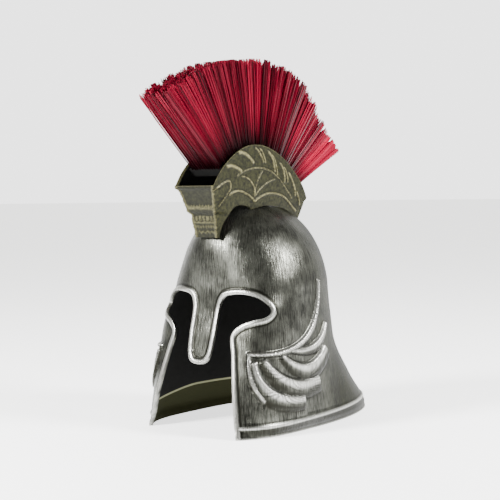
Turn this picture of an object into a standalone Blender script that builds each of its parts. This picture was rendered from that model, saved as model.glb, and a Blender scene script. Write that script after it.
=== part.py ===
"""A Greek helmet with a bristle crest, in metres.

+Z is up, the face looks towards -Y and the wearer's left side is towards +X.
Heights are from the bottom edge, and depths are from the middle of the dome.
"""

import math

import bmesh
import bpy
import numpy as np
from mathutils import Vector
from mathutils.geometry import delaunay_2d_cdt
from mathutils.kdtree import KDTree

# The head shell, one moulding
HEIGHT = 0.289
DOME_START = 0.179
SHELL_WALL = 0.003
CROWN_RING = 0.006
HALF_WIDTH = 0.101
FRONT_REACH = 0.137
REAR_REACH = 0.200

# Its sections: share of HEIGHT, of HALF_WIDTH, of FRONT_REACH and of REAR_REACH
SECTIONS = (
    (0.00, 1.000, 1.000, 1.000),
    (0.04, 1.066, 0.933, 0.967),
    (0.18, 1.020, 0.862, 0.785),
    (0.40, 0.983, 0.740, 0.564),
    (0.62, 0.945, 0.646, 0.552),
)

# How square the front half of each section is: share of HEIGHT, exponent
FRONT_SQUARE = (
    (0.00, 3.42),
    (0.20, 4.20),
    (0.40, 4.45),
    (0.50, 4.24),
    (0.62, 2.81),
    (0.75, 2.21),
    (1.00, 1.95),
)

# The same for the rear half
REAR_SQUARE = (
    (0.00, 2.20),
    (0.40, 2.03),
    (0.75, 1.82),
    (1.00, 1.99),
)

# How full the dome is to the side, to the front and to the rear
DOME_SIDE = 1.82
DOME_FRONT = 3.30
DOME_REAR = 2.02

# The face opening, half of it, from the tip of the nose guard to the foot of the cheek
EYE_TURN = math.radians(58)
BROW_RISE = 0.1835

# Share of EYE_TURN, share of BROW_RISE
OPENING = (
    (0.000, 0.463),
    (0.080, 0.472),
    (0.140, 0.498),
    (0.176, 0.545),
    (0.192, 0.603),
    (0.208, 0.688),
    (0.218, 0.770),
    (0.237, 0.858),
    (0.294, 0.922),
    (0.413, 0.943),
    (0.574, 0.947),
    (0.742, 0.927),
    (0.871, 0.876),
    (0.896, 0.833),
    (0.824, 0.797),
    (0.698, 0.777),
    (0.569, 0.747),
    (0.471, 0.700),
    (0.441, 0.644),
    (0.463, 0.550),
    (0.480, 0.417),
    (0.497, 0.266),
    (0.514, 0.117),
    (0.535, 0.000),
)

# The bead round the opening and the band round the foot
BEAD_WIDTH = 0.0065
BEAD_HEIGHT = 0.0022
BAND_FRONT = 0.012
BAND_REAR = 0.020
BAND_WIDTH = 0.005
BAND_HEIGHT = 0.0016

# The wing on each cheek
WING_TURN = math.radians(37.5)
WING_LOW = 0.028
WING_LENGTH = 0.122
WING_HEIGHT = 0.158
WING_RADIUS = 0.100
WING_RELIEF = 0.0034
WING_RIDGE = 0.0030

# Start along and up, bend along and up, tip along and up, as shares of the wing.
# Then the flank's width as a share of FEATHER_WIDTH, and how far the tip narrows.
FEATHER_WIDTH = 0.025
FEATHERS = (
    (0.000, 0.470, 0.830, 0.440, 0.907, 1.000, 0.45, 0.9),
    (0.400, 0.480, 0.820, 0.440, 1.000, 0.650, 0.60, 0.8),
    (0.310, 0.440, 0.620, 0.240, 0.936, 0.470, 0.95, 0.2),
    (0.136, 0.415, 0.340, 0.160, 0.790, 0.235, 0.88, 0.1),
    (0.050, 0.400, 0.100, 0.100, 0.544, 0.100, 0.70, 0.1),
    (0.000, 0.470, 0.000, 0.270, 0.110, 0.110, 0.20, 0.6),
)

# The crest holder: an open box on the dome, round the middle of the crest's fan
CREST_Y = -0.020
CREST_SINK = 0.0325
CREST_RADIUS = 0.102
HOLDER_WALL = 0.003
SEAT_GAP = 0.0003
PLATE_DROP = 0.045
PLATE_RISE = 0.0205
PLATE_HALF = 0.0328
PLATE_REACH = 0.112
REAR_DROP = 0.029
REAR_RISE = 0.004
REAR_DEPTH = 0.062
REAR_LEAN = 0.38
REAR_LIP = 0.0025
SIDE_HALF = 0.0335
SIDE_FLARE = 0.0127
SIDE_RISE = 0.0425
SIDE_BLEND = 0.018
ARCH_DROP = 0.005

# Heights that follow the top of the dome
CREST_Z = HEIGHT - CREST_SINK
PLATE_FOOT = HEIGHT - PLATE_DROP
PLATE_TOP = HEIGHT + PLATE_RISE
REAR_FOOT = HEIGHT - REAR_DROP
REAR_TOP = HEIGHT + REAR_RISE
SIDE_STRAIGHT = HEIGHT + SIDE_RISE

# Its front plate, moulded as a capital: share of its height, of PLATE_HALF, of PLATE_REACH
PLATE = (
    (0.00, 0.570, 0.801),
    (0.27, 0.620, 0.831),
    (0.44, 0.643, 0.848),
    (0.50, 0.743, 0.886),
    (0.75, 0.838, 0.930),
    (0.91, 0.920, 0.967),
    (0.95, 1.000, 1.000),
    (1.00, 1.000, 1.000),
)

# The top edge of its side walls: degrees from upright, share of CREST_RADIUS
WALL_TOP = (
    (-63, 1.038),
    (-39, 1.038),
    (-17, 1.045),
    (-1, 1.026),
    (12, 0.997),
    (27, 0.970),
    (43, 0.960),
    (61, 0.992),
    (71, 1.011),
)

# Its two arches over the dome: start, end and top as shares of the way from the front plate's
# foot to the rear one's, the top's share of ARCH_DROP under the dome's top, fullness
ARCHES = (
    (0.022, 0.347, 0.202, 0.9, 0.5),
    (0.428, 0.966, 0.565, 1.2, 1.0),
)

# Raised lines on its side walls, each from start to end: degrees, share of CREST_RADIUS
LINE_WIDTH = 0.0030
LINE_HEIGHT = 0.0014
LINES = (
    ((-56, 0.722), (-45, 0.641), (-35, 0.512), (-21, 0.347)),
    ((-18, 0.336), (5, 0.392), (32, 0.490), (50, 0.584), (67, 0.676), (76, 0.761)),
    ((-36, 0.789), (-15, 0.755), (0, 0.738), (20, 0.712), (44, 0.686), (61, 0.718)),
    ((-19, 0.405), (-16, 0.493), (-21, 0.623), (-31, 0.739)),
    ((-17, 0.444), (-16, 0.513), (-20, 0.603)),
    ((-16, 0.414), (-12, 0.521), (1, 0.695)),
    ((-15, 0.404), (5, 0.519), (24, 0.654)),
    ((-59, 0.961), (-47, 0.826), (-60, 0.767)),
)

# Leaves on the band along the top: degrees at the outer end, degrees at the inner end
LEAF_OUTER = 0.955
LEAF_INNER = 0.81
LEAVES = ((-41, -30), (-25, -12), (-7, 2), (10, 22), (25, 39), (39, 51), (53, 62))

# The brush: a curved block that carries the bristles
BLOCK_DROP = 0.005
BLOCK_DEPTH = 0.012
FAN_FRONT = math.radians(45)
FAN_REAR = math.radians(61)
BLOCK_SHORT = math.radians(2)
TIP_RADIUS = 0.220
TIP_RAGGED = 0.004
PLUME_ROOT = 0.0245
PLUME_TIP = 0.0250
LOCK_COUNT = 27
LOCK_DEPTH = 0.0016

# How far its tips reach: share of the fan from front to rear, share of TIP_RADIUS
TIPS = (
    (0.00, 1.045),
    (0.09, 1.010),
    (0.18, 0.989),
    (0.27, 0.981),
    (0.36, 0.966),
    (0.45, 0.977),
    (0.55, 0.984),
    (0.64, 0.989),
    (0.73, 0.972),
    (0.82, 0.918),
    (0.91, 0.898),
    (1.00, 0.938),
)

# Steps between mesh points
SHELL_STEP = 0.0135
INNER_STEP = 0.019
LINE_STEP = 0.0075
HOLDER_STEP = 0.010
MERGE = 1e-7


def clear_scene():
    for obj in list(bpy.data.objects):
        bpy.data.objects.remove(obj, do_unlink=True)


def metal(name, colour, metallic, roughness):
    material = bpy.data.materials.new(name)
    material.use_nodes = True
    shader = material.node_tree.nodes["Principled BSDF"]
    shader.inputs["Base Color"].default_value = (*colour, 1.0)
    shader.inputs["Metallic"].default_value = metallic
    shader.inputs["Roughness"].default_value = roughness
    return material


def column(rows, index, at):
    """One column of a table at any place, smooth, with no overshoot and level at its last row."""
    table = np.array(rows, float)
    places, values = table[:, 0], table[:, index]
    runs = np.diff(places)
    slopes = np.diff(values) / runs
    before = np.concatenate([slopes[:1], slopes])
    after = np.concatenate([slopes, [0.0]])
    agree = before * after > 0
    tangents = np.where(agree, 2 * before * after / np.where(agree, before + after, 1), 0)
    step = np.clip(np.searchsorted(places, at) - 1, 0, len(runs) - 1)
    run = runs[step]
    share = np.clip((at - places[step]) / run, 0, 1)
    rise = 3 * share**2 - 2 * share**3
    start = share * (1 - share) ** 2 * tangents[step]
    end = share**2 * (share - 1) * tangents[step + 1]
    return values[step] + rise * (values[step + 1] - values[step]) + run * (start + end)


def smooth_line(rows, pieces):
    """A line through every row, with the same number of pieces between two rows."""
    points = np.array(rows, float)
    ends = np.vstack([2 * points[0] - points[1], points, 2 * points[-1] - points[-2]])
    share = np.arange(pieces)[:, None] / pieces
    line = []
    for i in range(len(points) - 1):
        before, start, end, after = ends[i : i + 4]
        line.append(
            start
            + 0.5 * share * (end - before)
            + share**2 * (before - 2.5 * start + 2 * end - 0.5 * after)
            + 0.5 * share**3 * (after - before + 3 * (start - end))
        )
    return np.vstack([*line, points[-1:]])


def even_line(points, step, place):
    """The same line with points about one step apart in space."""
    solid = place(points)
    lengths = np.linalg.norm(np.diff(solid, axis=0), axis=1)
    along = np.concatenate([[0.0], np.cumsum(lengths)])
    count = max(2, round(along[-1] / step) + 1)
    at = np.linspace(0.0, along[-1], count)
    return np.column_stack([np.interp(at, along, points[:, k]) for k in range(2)])


def within(points, loop):
    """Which flat points lie inside a closed loop."""
    inside = np.zeros(len(points), bool)
    for (x0, y0), (x1, y1) in zip(loop, np.roll(loop, -1, axis=0)):
        crosses = (y0 > points[:, 1]) != (y1 > points[:, 1])
        rise = y1 - y0 if y1 != y0 else 1.0
        inside ^= crosses & (points[:, 0] < (x1 - x0) * (points[:, 1] - y0) / rise + x0)
    return inside


def clear_of(spots, lines, place, clearance):
    """The flat spots that are farther from every line than the clearance, in space."""
    taken = place(np.vstack(lines))
    tree = KDTree(len(taken))
    for i, point in enumerate(taken):
        tree.insert(point, i)
    tree.balance()
    kept = [tree.find(point)[2] > clearance for point in place(spots)]
    return spots[np.array(kept)]


def fill_loop(loop, lines, spots):
    """Triangles inside a closed flat loop, along every line and through every spot."""
    corners = [Vector(point) for point in loop]
    edges = [(i, (i + 1) % len(loop)) for i in range(len(loop))]
    for line in lines:
        first = len(corners)
        corners += [Vector(point) for point in line]
        edges += [(first + i, first + i + 1) for i in range(len(line) - 1)]
    corners += [Vector(point) for point in spots]
    flat, _, faces, sources, _, _ = delaunay_2d_cdt(corners, edges, [], 0, MERGE)
    flat = np.array([tuple(point) for point in flat])
    faces = np.array([tuple(face) for face in faces])
    faces = faces[within(flat[faces].mean(axis=1), np.array(loop))]
    found = {source: i for i, given in enumerate(sources) for source in given}
    return flat, faces, [found[i] for i in range(len(loop))]


def two_halves(name, material, outer, inner, crowned=(), crowns=()):
    """One closed wall: an outer and an inner half skin on the same rim, joined and mirrored."""
    made = bmesh.new()
    for side in (1, -1):
        rims = []
        for points, faces, rim in (outer, inner):
            corners = [made.verts.new((side * x, y, z)) for x, y, z in points]
            for face in faces:
                made.faces.new([corners[i] for i in face])
            rims.append([corners[i] for i in rim])
        for crown, rim in zip(crowns, rims):
            tip = made.verts.new(crown)
            for i in crowned:
                made.faces.new([rim[i], rim[i + 1], tip])
        for i in range(len(rims[0])):
            j = (i + 1) % len(rims[0])
            near, far = rims[0][i], rims[0][j]
            if i not in crowned and max(abs(near.co.x), abs(far.co.x)) > 1e-6:
                made.faces.new([near, rims[1][i], rims[1][j], far])
    seam = [corner for corner in made.verts if abs(corner.co.x) < 1e-6]
    bmesh.ops.remove_doubles(made, verts=seam, dist=1e-6)
    bmesh.ops.recalc_face_normals(made, faces=made.faces)
    return add_object(name, material, made)


def add_object(name, material, made):
    mesh = bpy.data.meshes.new(name)
    made.to_mesh(mesh)
    made.free()
    mesh.materials.append(material)
    obj = bpy.data.objects.new(name, mesh)
    bpy.context.scene.collection.objects.link(obj)
    return obj


def ridge(distance, width):
    """A rounded ridge: 1 on its line and 0 at half its width."""
    return np.sqrt(np.clip(1 - (2 * distance / width) ** 2, 0, 1))


# The shell's surface, from a turn round the head and a climb up its side


def half_sizes(z):
    low = np.minimum(z, DOME_START) / HEIGHT
    rise = np.clip((z - DOME_START) / (HEIGHT - DOME_START), 0, 1)
    sizes = []
    widest = (HALF_WIDTH, FRONT_REACH, REAR_REACH)
    for index, (size, full) in enumerate(zip(widest, (DOME_SIDE, DOME_FRONT, DOME_REAR))):
        share = column(SECTIONS, index + 1, low)
        sizes.append(size * share * (1 - rise**full) ** (1 / full))
    return sizes


def shell_radius(turn, z):
    side, front, rear = (np.maximum(size, 1e-6) for size in half_sizes(z))
    ahead = np.cos(turn) >= 0
    reach = np.where(ahead, front, rear)
    power = np.where(ahead, column(FRONT_SQUARE, 1, z / HEIGHT), column(REAR_SQUARE, 1, z / HEIGHT))
    across = (np.abs(np.sin(turn)) / side) ** power
    along = (np.abs(np.cos(turn)) / reach) ** power
    return (across + along) ** (-1 / power)


def height_of(climb):
    bend = np.clip((climb - DOME_START) / (HEIGHT - DOME_START), 0, math.pi / 2)
    return np.minimum(climb, DOME_START) + (HEIGHT - DOME_START) * np.sin(bend)


def climb_of(z):
    bend = np.clip((z - DOME_START) / (HEIGHT - DOME_START), 0, 1)
    return np.minimum(z, DOME_START) + (HEIGHT - DOME_START) * np.arcsin(bend)


def round_point(turn, climb):
    z = height_of(climb)
    radius = shell_radius(turn, z)
    return np.stack([radius * np.sin(turn), -radius * np.cos(turn), z], axis=-1)


def round_normal(turn, climb):
    step = 1e-4
    across = round_point(turn + step, climb) - round_point(turn - step, climb)
    upward = round_point(turn, climb + step) - round_point(turn, climb - step)
    normal = np.cross(across, upward)
    return normal / np.linalg.norm(normal, axis=-1, keepdims=True)


def dome_height(x, y):
    """The height of the dome's outer face over a point."""
    turn = np.arctan2(np.abs(x), -y)
    low = np.full(np.shape(x), DOME_START)
    high = np.full(np.shape(x), HEIGHT)
    for _ in range(30):
        middle = (low + high) / 2
        inside = shell_radius(turn, middle) > np.hypot(x, y)
        low = np.where(inside, middle, low)
        high = np.where(inside, high, middle)
    return low


# The flat map of the shell keeps angles: (turn, level), where level grows as climb over radius
CLIMBS = np.linspace(0.0, climb_of(HEIGHT) - CROWN_RING, 600)
GIRTHS = np.mean([shell_radius(t, height_of(CLIMBS)) for t in np.linspace(0, math.pi, 13)], axis=0)
LEVELS = np.concatenate(
    [[0.0], np.cumsum(np.diff(CLIMBS) * 2 / (GIRTHS[1:] + GIRTHS[:-1]))]
)


def level_of(climb):
    return np.interp(climb, CLIMBS, LEVELS)


def climb_at(level):
    return np.interp(level, LEVELS, CLIMBS)


def shell_place(flat):
    return round_point(flat[:, 0], climb_at(flat[:, 1]))


def opening_line(pieces):
    rows = np.array(OPENING) * (EYE_TURN, BROW_RISE)
    line = smooth_line(rows, pieces)
    line[:, 0] = np.maximum(line[:, 0], 0.0)
    return np.column_stack([line[:, 0], level_of(climb_of(np.maximum(line[:, 1], 0.0)))])


def set_back(line, distance):
    """The opening's line moved into the metal by a distance."""
    step = 1e-4
    here = shell_place(line)
    across = (shell_place(line + (step, 0)) - here) / step
    upward = (shell_place(line + (0, step)) - here) / step
    ahead = np.gradient(here, axis=0)
    ahead /= np.linalg.norm(ahead, axis=1, keepdims=True)
    away = np.cross(round_normal(line[:, 0], climb_at(line[:, 1])), ahead)
    moved = []
    for a, u, w, point in zip(across, upward, away, line):
        grid = np.array([[a @ a, a @ u], [a @ u, u @ u]])
        moved.append(point + distance * np.linalg.solve(grid, [a @ w, u @ w]))
    return np.array(moved)


def feather_lines(pieces):
    """For each feather its ridge and the foot of its flank, in wing millimetres along and up."""
    share = np.linspace(0, 1, pieces + 1)[:, None]
    lines = []
    for row in FEATHERS:
        start, bend, tip = (np.array(row[k : k + 2]) for k in (0, 2, 4))
        curve = (1 - share) ** 2 * start + 2 * share * (1 - share) * bend + share**2 * tip
        curve = curve * (WING_LENGTH, WING_HEIGHT)
        ahead = np.gradient(curve, axis=0)
        ahead /= np.linalg.norm(ahead, axis=1, keepdims=True)
        below = np.column_stack([ahead[:, 1], -ahead[:, 0]])
        widening = np.minimum(1.0, 0.3 + 1.2 * share)
        narrowing = 1 - row[7] * share**3
        width = row[6] * FEATHER_WIDTH * widening * narrowing
        lines.append((curve, below, width[:, 0]))
    return lines


def wing_relief(flat):
    """How far the wing stands out of the shell at each place."""
    along = (flat[:, 0] - WING_TURN) * WING_RADIUS
    upward = height_of(climb_at(flat[:, 1])) - WING_LOW
    spots = np.column_stack([along, upward])
    relief = np.zeros(len(flat))
    for curve, below, width in feather_lines(40):
        offsets = spots[:, None] - curve[None]
        nearest = np.linalg.norm(offsets, axis=2).argmin(axis=1)
        offset = offsets[np.arange(len(spots)), nearest]
        down = (offset * below[nearest]).sum(axis=1)
        past = np.sqrt(np.maximum((offset**2).sum(axis=1) - down**2, 0))
        flank = np.sqrt(np.clip(1 - (down / width[nearest]) ** 2, 0, 1))
        brow = np.clip(1 + down / WING_RIDGE, 0, 1)
        height = np.where(down > 0, flank, brow) * np.clip(1 - past / WING_RIDGE, 0, 1)
        relief = np.maximum(relief, height)
    return WING_RELIEF * relief


def edge_relief(flat, edge):
    """How far the opening's bead and the foot band stand out at each place."""
    tree = KDTree(len(edge))
    for i, point in enumerate(shell_place(edge)):
        tree.insert(point, i)
    tree.balance()
    distance = np.array([tree.find(point)[2] for point in shell_place(flat)])
    bead = ridge(distance - 0.4 * BEAD_WIDTH, 1.2 * BEAD_WIDTH) * BEAD_HEIGHT
    climb = climb_at(flat[:, 1])
    foot = band_climb(flat[:, 0])
    band = ridge(climb - foot, BAND_WIDTH) * BAND_HEIGHT
    hem = ridge(climb, BAND_WIDTH) * BAND_HEIGHT
    return np.maximum.reduce([bead, band, hem])


def band_climb(turn):
    return BAND_FRONT + (BAND_REAR - BAND_FRONT) * turn / math.pi


def shell_loop(edge, step):
    """The half shell's border: up the brow, round the crown, down the nape, along the foot."""
    top = LEVELS[-1]
    brow = np.array([(0.0, edge[0, 1]), (0.0, top)])
    nape = np.array([(math.pi, top), (math.pi, 0.0)])
    foot = np.array([(math.pi, 0.0), (edge[-1, 0], 0.0)])
    upward = even_line(in_pieces(brow), step, shell_place)
    crown = np.column_stack([np.linspace(0, math.pi, 6), np.full(6, top)])
    down = even_line(in_pieces(nape), step, shell_place)
    back = even_line(in_pieces(foot), step, shell_place)
    return np.vstack([upward[:-1], crown[:-1], down[:-1], back[:-1], edge[::-1][:-1]])


def in_pieces(ends):
    share = np.linspace(0, 1, 200)[:, None]
    return ends[0] + share * (ends[1] - ends[0])


def shell_spots(step):
    spots = []
    climb = step / 2
    row = 0
    while climb < CLIMBS[-1] - step / 3:
        girth = math.pi * np.interp(climb, CLIMBS, GIRTHS)
        count = max(3, round(girth / step))
        turns = (np.arange(count) + (0.5 if row % 2 else 0.25)) * math.pi / count
        spots += [(turn, level_of(climb)) for turn in turns]
        climb += step * 0.87
        row += 1
    return np.array(spots)


def head_shell(material):
    edge = even_line(opening_line(8), LINE_STEP, shell_place)
    fine_edge = opening_line(20)
    loop = shell_loop(edge, SHELL_STEP)
    inside = slice(1, -1)
    lines = [set_back(edge, 0.4 * BEAD_WIDTH), set_back(edge, BEAD_WIDTH)]
    lines = [line[(line[:, 0] > 0.02) & (climb_at(line[:, 1]) > 2 * BAND_WIDTH)] for line in lines]
    turns = np.linspace(edge[-1, 0], math.pi, 40)[inside]
    for lift in (-0.5, 0.0, 0.5):
        climbs = band_climb(turns) + lift * BAND_WIDTH
        lines.append(np.column_stack([turns, level_of(climbs)])[1:])
    wing = []
    for curve, below, width in feather_lines(9):
        for shift in (-WING_RIDGE, 0.0, width):
            moved = curve + below * np.reshape(shift, (-1, 1))
            turn = WING_TURN + moved[:, 0] / WING_RADIUS
            wing.append(np.column_stack([turn, level_of(climb_of(WING_LOW + moved[:, 1]))]))
    spots = clear_of(shell_spots(SHELL_STEP), [loop, *lines, *wing], shell_place, SHELL_STEP * 0.5)
    flat, faces, rim = fill_loop(loop, [*lines, *wing], spots[within(spots, loop)])
    relief = np.maximum(wing_relief(flat), edge_relief(flat, fine_edge))
    climbs = climb_at(flat[:, 1])
    skin = round_point(flat[:, 0], climbs)
    skin = skin + relief[:, None] * round_normal(flat[:, 0], climbs)
    skin[:, 2] = np.where(climbs < 1e-6, 0.0, skin[:, 2])
    skin[:, 0] = np.where(np.abs(skin[:, 0]) < 1e-6, 0.0, skin[:, 0])
    sparse = clear_of(shell_spots(INNER_STEP), [loop], shell_place, INNER_STEP * 0.5)
    inner, inner_faces, inner_rim = fill_loop(loop, [], sparse[within(sparse, loop)])
    climbs = climb_at(inner[:, 1])
    lining = round_point(inner[:, 0], climbs)
    lining = lining - SHELL_WALL * round_normal(inner[:, 0], climbs)
    lining[:, 2] = np.where(climbs < 1e-6, 0.0, lining[:, 2])
    lining[:, 0] = np.where(np.sin(inner[:, 0]) < 1e-6, 0.0, lining[:, 0])
    crowns = ((0.0, 0.0, HEIGHT), (0.0, 0.0, HEIGHT - SHELL_WALL))
    on_top = loop[:, 1] > LEVELS[-1] - MERGE
    crowned = [i for i in range(len(loop) - 1) if on_top[i] and on_top[i + 1]]
    skins = (skin, faces, rim), (lining, inner_faces, inner_rim)
    return two_halves("helmet_shell", material, *skins, crowned, crowns)


# The crest holder's walls, from a flat map (depth, height) that unfolds its corners


def plate_width(z):
    rows = np.array(PLATE)
    return PLATE_HALF * np.interp((z - PLATE_FOOT) / (PLATE_TOP - PLATE_FOOT), rows[:, 0], rows[:, 1])


def plate_depth(z):
    rows = np.array(PLATE)
    return -PLATE_REACH * np.interp((z - PLATE_FOOT) / (PLATE_TOP - PLATE_FOOT), rows[:, 0], rows[:, 2])


def rear_depth(z):
    low = REAR_DEPTH + (np.minimum(z, REAR_TOP) - REAR_FOOT) * REAR_LEAN
    lip = np.clip((z - (REAR_TOP - 2 * REAR_LIP)) / (0.5 * REAR_LIP), 0, 1)
    return low + REAR_LIP * lip


def side_width(y, z):
    fall = np.clip((SIDE_STRAIGHT - z) / (SIDE_STRAIGHT - PLATE_FOOT), 0, 1.2)
    wall = SIDE_HALF - SIDE_FLARE * fall**2
    share = np.clip((y - plate_depth(z)) / SIDE_BLEND, 0, 1)
    blend = share**2 * (3 - 2 * share)
    return plate_width(z) + blend * (wall - plate_width(z))


def holder_point(flat, inset, relief):
    """A place on the holder's wall, set in from its outer face or raised out of it."""
    across, z = flat[:, 0], flat[:, 1]
    front, rear = plate_depth(z), rear_depth(z)
    front_half, rear_half = side_width(front, z), side_width(rear, z)
    ahead, behind = across < front, across > rear
    share = (np.clip(across, front, rear) - front) / (rear - front)
    y = front + inset + share * (rear - front - 2 * inset)
    x = side_width(front + share * (rear - front), z) - inset
    x = np.where(ahead, (front_half - inset) * (1 - (front - across) / front_half), x)
    x = np.where(behind, (rear_half - inset) * (1 - (across - rear) / rear_half), x)
    x = np.where(ahead | behind, x, x + relief)
    y = np.where(ahead, y - relief, np.where(behind, y + relief, y))
    x = np.where(np.abs(x) < 1e-5, 0.0, x)
    return np.column_stack([x, y, np.maximum(z, dome_height(x, y) + SEAT_GAP)])


def seated(across):
    """The heights of the holder's lower edge, on the dome or at the plate's foot before it."""
    z = np.full(len(across), HEIGHT)
    for _ in range(40):
        point = holder_point(np.column_stack([across, z]), 0.0, 0.0)
        z = np.maximum(dome_height(point[:, 0], point[:, 1]) + SEAT_GAP, PLATE_FOOT)
    return z


def crest_point(radius, turn):
    """A place in depth and height, by its distance and turn from the crest's middle."""
    turn = np.asarray(turn)
    return np.stack([CREST_Y + radius * np.sin(turn), CREST_Z + radius * np.cos(turn)], axis=-1)


def top_radius(turn):
    return CREST_RADIUS * column(WALL_TOP, 1, np.degrees(np.asarray(turn)))


def corner_turn(z, depth):
    return math.atan2(depth - CREST_Y, z - CREST_Z)


def holder_loop(step):
    """The half holder's border: up the front, over the top, down the rear and back over the dome."""
    front_foot = float(seated(np.array([plate_depth(PLATE_FOOT) - plate_width(PLATE_FOOT)]))[0])
    heights = np.linspace(front_foot, PLATE_TOP, 9)
    upward = np.column_stack([plate_depth(heights) - plate_width(heights), heights])
    front_turn = corner_turn(PLATE_TOP, plate_depth(PLATE_TOP))
    rear_turn = corner_turn(REAR_TOP, rear_depth(REAR_TOP))
    turns = np.linspace(front_turn, rear_turn, round(2 * CREST_RADIUS / step))
    over = crest_point(top_radius(turns), turns)
    over[0] = plate_depth(PLATE_TOP), PLATE_TOP
    over[-1] = rear_depth(REAR_TOP), REAR_TOP
    rear_half = side_width(rear_depth(REAR_TOP), REAR_TOP)
    rear_foot = rear_depth(REAR_FOOT) + side_width(rear_depth(REAR_FOOT), REAR_FOOT)
    foot_height = float(seated(np.array([rear_foot]))[0])
    heights = np.linspace(REAR_TOP, foot_height, 5)
    down = np.column_stack([rear_depth(heights) + side_width(rear_depth(heights), heights), heights])
    down[0, 0] = rear_depth(REAR_TOP) + rear_half
    places = [down[-1, 0]]
    arches = []
    span = float(plate_depth(PLATE_FOOT)), float(rear_depth(REAR_FOOT))
    for *shares, drop, fullness in reversed(ARCHES):
        first, last, top_depth = (span[0] + share * (span[1] - span[0]) for share in shares)
        top = HEIGHT - ARCH_DROP * drop
        places += list(np.linspace(places[-1], last, round((places[-1] - last) / step) + 2)[1:])
        foot = np.array(places)
        arches.append(np.column_stack([foot, seated(foot)]))
        ends = seated(np.array([first, last]))
        share = np.linspace(0, 1, 12)[1:-1]
        depth = np.concatenate([last + share * (top_depth - last), [top_depth]])
        rise = (1 - ((depth - top_depth) / (last - top_depth)) ** 2) ** fullness
        arches.append(np.column_stack([depth, ends[1] + (top - ends[1]) * rise]))
        depth = top_depth + share * (first - top_depth)
        rise = (1 - ((depth - top_depth) / (first - top_depth)) ** 2) ** fullness
        arches.append(np.column_stack([depth, ends[0] + (top - ends[0]) * rise]))
        places = [first]
    foot = np.linspace(places[-1], upward[0, 0], round((places[-1] - upward[0, 0]) / step) + 2)
    arches.append(np.column_stack([foot, seated(foot)])[:-1])
    rim = np.vstack([upward[:-1], [[upward[-1, 0], PLATE_TOP]], over, down, *arches])
    kept = np.ones(len(rim), bool)
    kept[1:] = np.linalg.norm(np.diff(rim, axis=0), axis=1) > step * 0.1
    return rim[kept]


def holder_lines():
    """The raised lines of a side wall: two arcs over the arches, a fan and a band of leaves."""
    lines = []
    for rows in LINES:
        turns, shares = smooth_line(rows, 3).T
        lines.append(crest_point(CREST_RADIUS * shares, np.radians(turns)))
    for rows in LEAVES:
        turns = np.radians(np.linspace(*rows, 4))
        radii = top_radius(turns) * np.linspace(LEAF_OUTER, LEAF_INNER, 4)
        lines.append(crest_point(radii, turns))
    return lines


def line_relief(flat, lines):
    relief = np.zeros(len(flat))
    for line in lines:
        fine = in_steps(line)
        offsets = flat[:, None] - fine[None]
        distance = np.linalg.norm(offsets, axis=2).min(axis=1)
        relief = np.maximum(relief, ridge(distance, LINE_WIDTH))
    return LINE_HEIGHT * relief


def in_steps(line):
    return np.vstack([in_pieces(line[i : i + 2])[::10] for i in range(len(line) - 1)])


def crest_holder(material):
    loop = holder_loop(HOLDER_STEP)
    lines = holder_lines()
    heights = np.linspace(PLATE_FOOT, PLATE_TOP, 12)[1:-1]
    corners = np.column_stack([plate_depth(heights), heights])
    corners = corners[within(corners, loop)]
    heights = np.linspace(REAR_FOOT, REAR_TOP, 7)[1:-1]
    rear = np.column_stack([rear_depth(heights), heights])
    rear = rear[within(rear, loop)]
    rows = [row[0] * (PLATE_TOP - PLATE_FOOT) + PLATE_FOOT for row in PLATE[1:-1]]
    steps = []
    for z in rows:
        middle = plate_depth(z) - plate_width(z)
        across = np.linspace(middle, plate_depth(z), 5)[1:-1]
        step = np.column_stack([across, np.full(3, z)])
        steps.append(step[within(step, loop)])
    raised = [line[within(line, loop)] for line in lines]
    drawn = []
    for line in raised:
        if len(line) < 2:
            continue
        ahead = np.gradient(line, axis=0)
        ahead /= np.linalg.norm(ahead, axis=1, keepdims=True)
        beside = np.column_stack([-ahead[:, 1], ahead[:, 0]]) * LINE_WIDTH / 2
        drawn += [line, line + beside, line - beside]
    drawn = [line[within(line, loop)] for line in drawn]
    drawn = [line for line in drawn if len(line) > 1]
    ends = zip(loop.min(axis=0), loop.max(axis=0))
    grid = np.meshgrid(*[np.arange(low, high, HOLDER_STEP) for low, high in ends])
    grid = np.column_stack([axis.T.ravel() for axis in grid])
    grid = grid[within(grid, loop)]

    def place(flat):
        return holder_point(flat, 0.0, 0.0)

    kept = [corners, rear, *steps]
    spots = clear_of(grid, [loop, *kept, *drawn], place, HOLDER_STEP * 0.5)
    flat, faces, rim = fill_loop(loop, [corners, rear, *steps, *drawn], spots)
    skin = holder_point(flat, 0.0, line_relief(flat, raised))
    spots = clear_of(grid[::2], [loop, *kept], place, HOLDER_STEP * 0.5)
    inner, inner_faces, inner_rim = fill_loop(loop, [corners, rear], spots)
    lining = holder_point(inner, HOLDER_WALL, 0.0)
    return two_halves("crest_holder", material, (skin, faces, rim), (lining, inner_faces, inner_rim))


# The brush


def loft(name, material, sections):
    """A closed solid through sections with the same number of corners, capped at both ends."""
    made = bmesh.new()
    rings = [[made.verts.new(corner) for corner in section] for section in sections]
    for near, far in zip(rings, rings[1:]):
        for i in range(len(near)):
            j = (i + 1) % len(near)
            made.faces.new([near[i], near[j], far[j], far[i]])
    made.faces.new(rings[0][::-1])
    made.faces.new(rings[-1])
    bmesh.ops.recalc_face_normals(made, faces=made.faces)
    return add_object(name, material, made)


def brush_block(material):
    sections = []
    for turn in np.linspace(-FAN_FRONT + BLOCK_SHORT, FAN_REAR - BLOCK_SHORT, 19):
        section = []
        for radius, side in ((0, -1), (0, 1), (1, 1), (1, -1)):
            y, z = crest_point(top_radius(turn) - BLOCK_DROP - radius * BLOCK_DEPTH, turn)
            wide = float(side_width(y, z))
            section.append((side * (wide - HOLDER_WALL - SEAT_GAP), y, z))
        sections.append(section)
    return loft("brush_block", material, sections)


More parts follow.
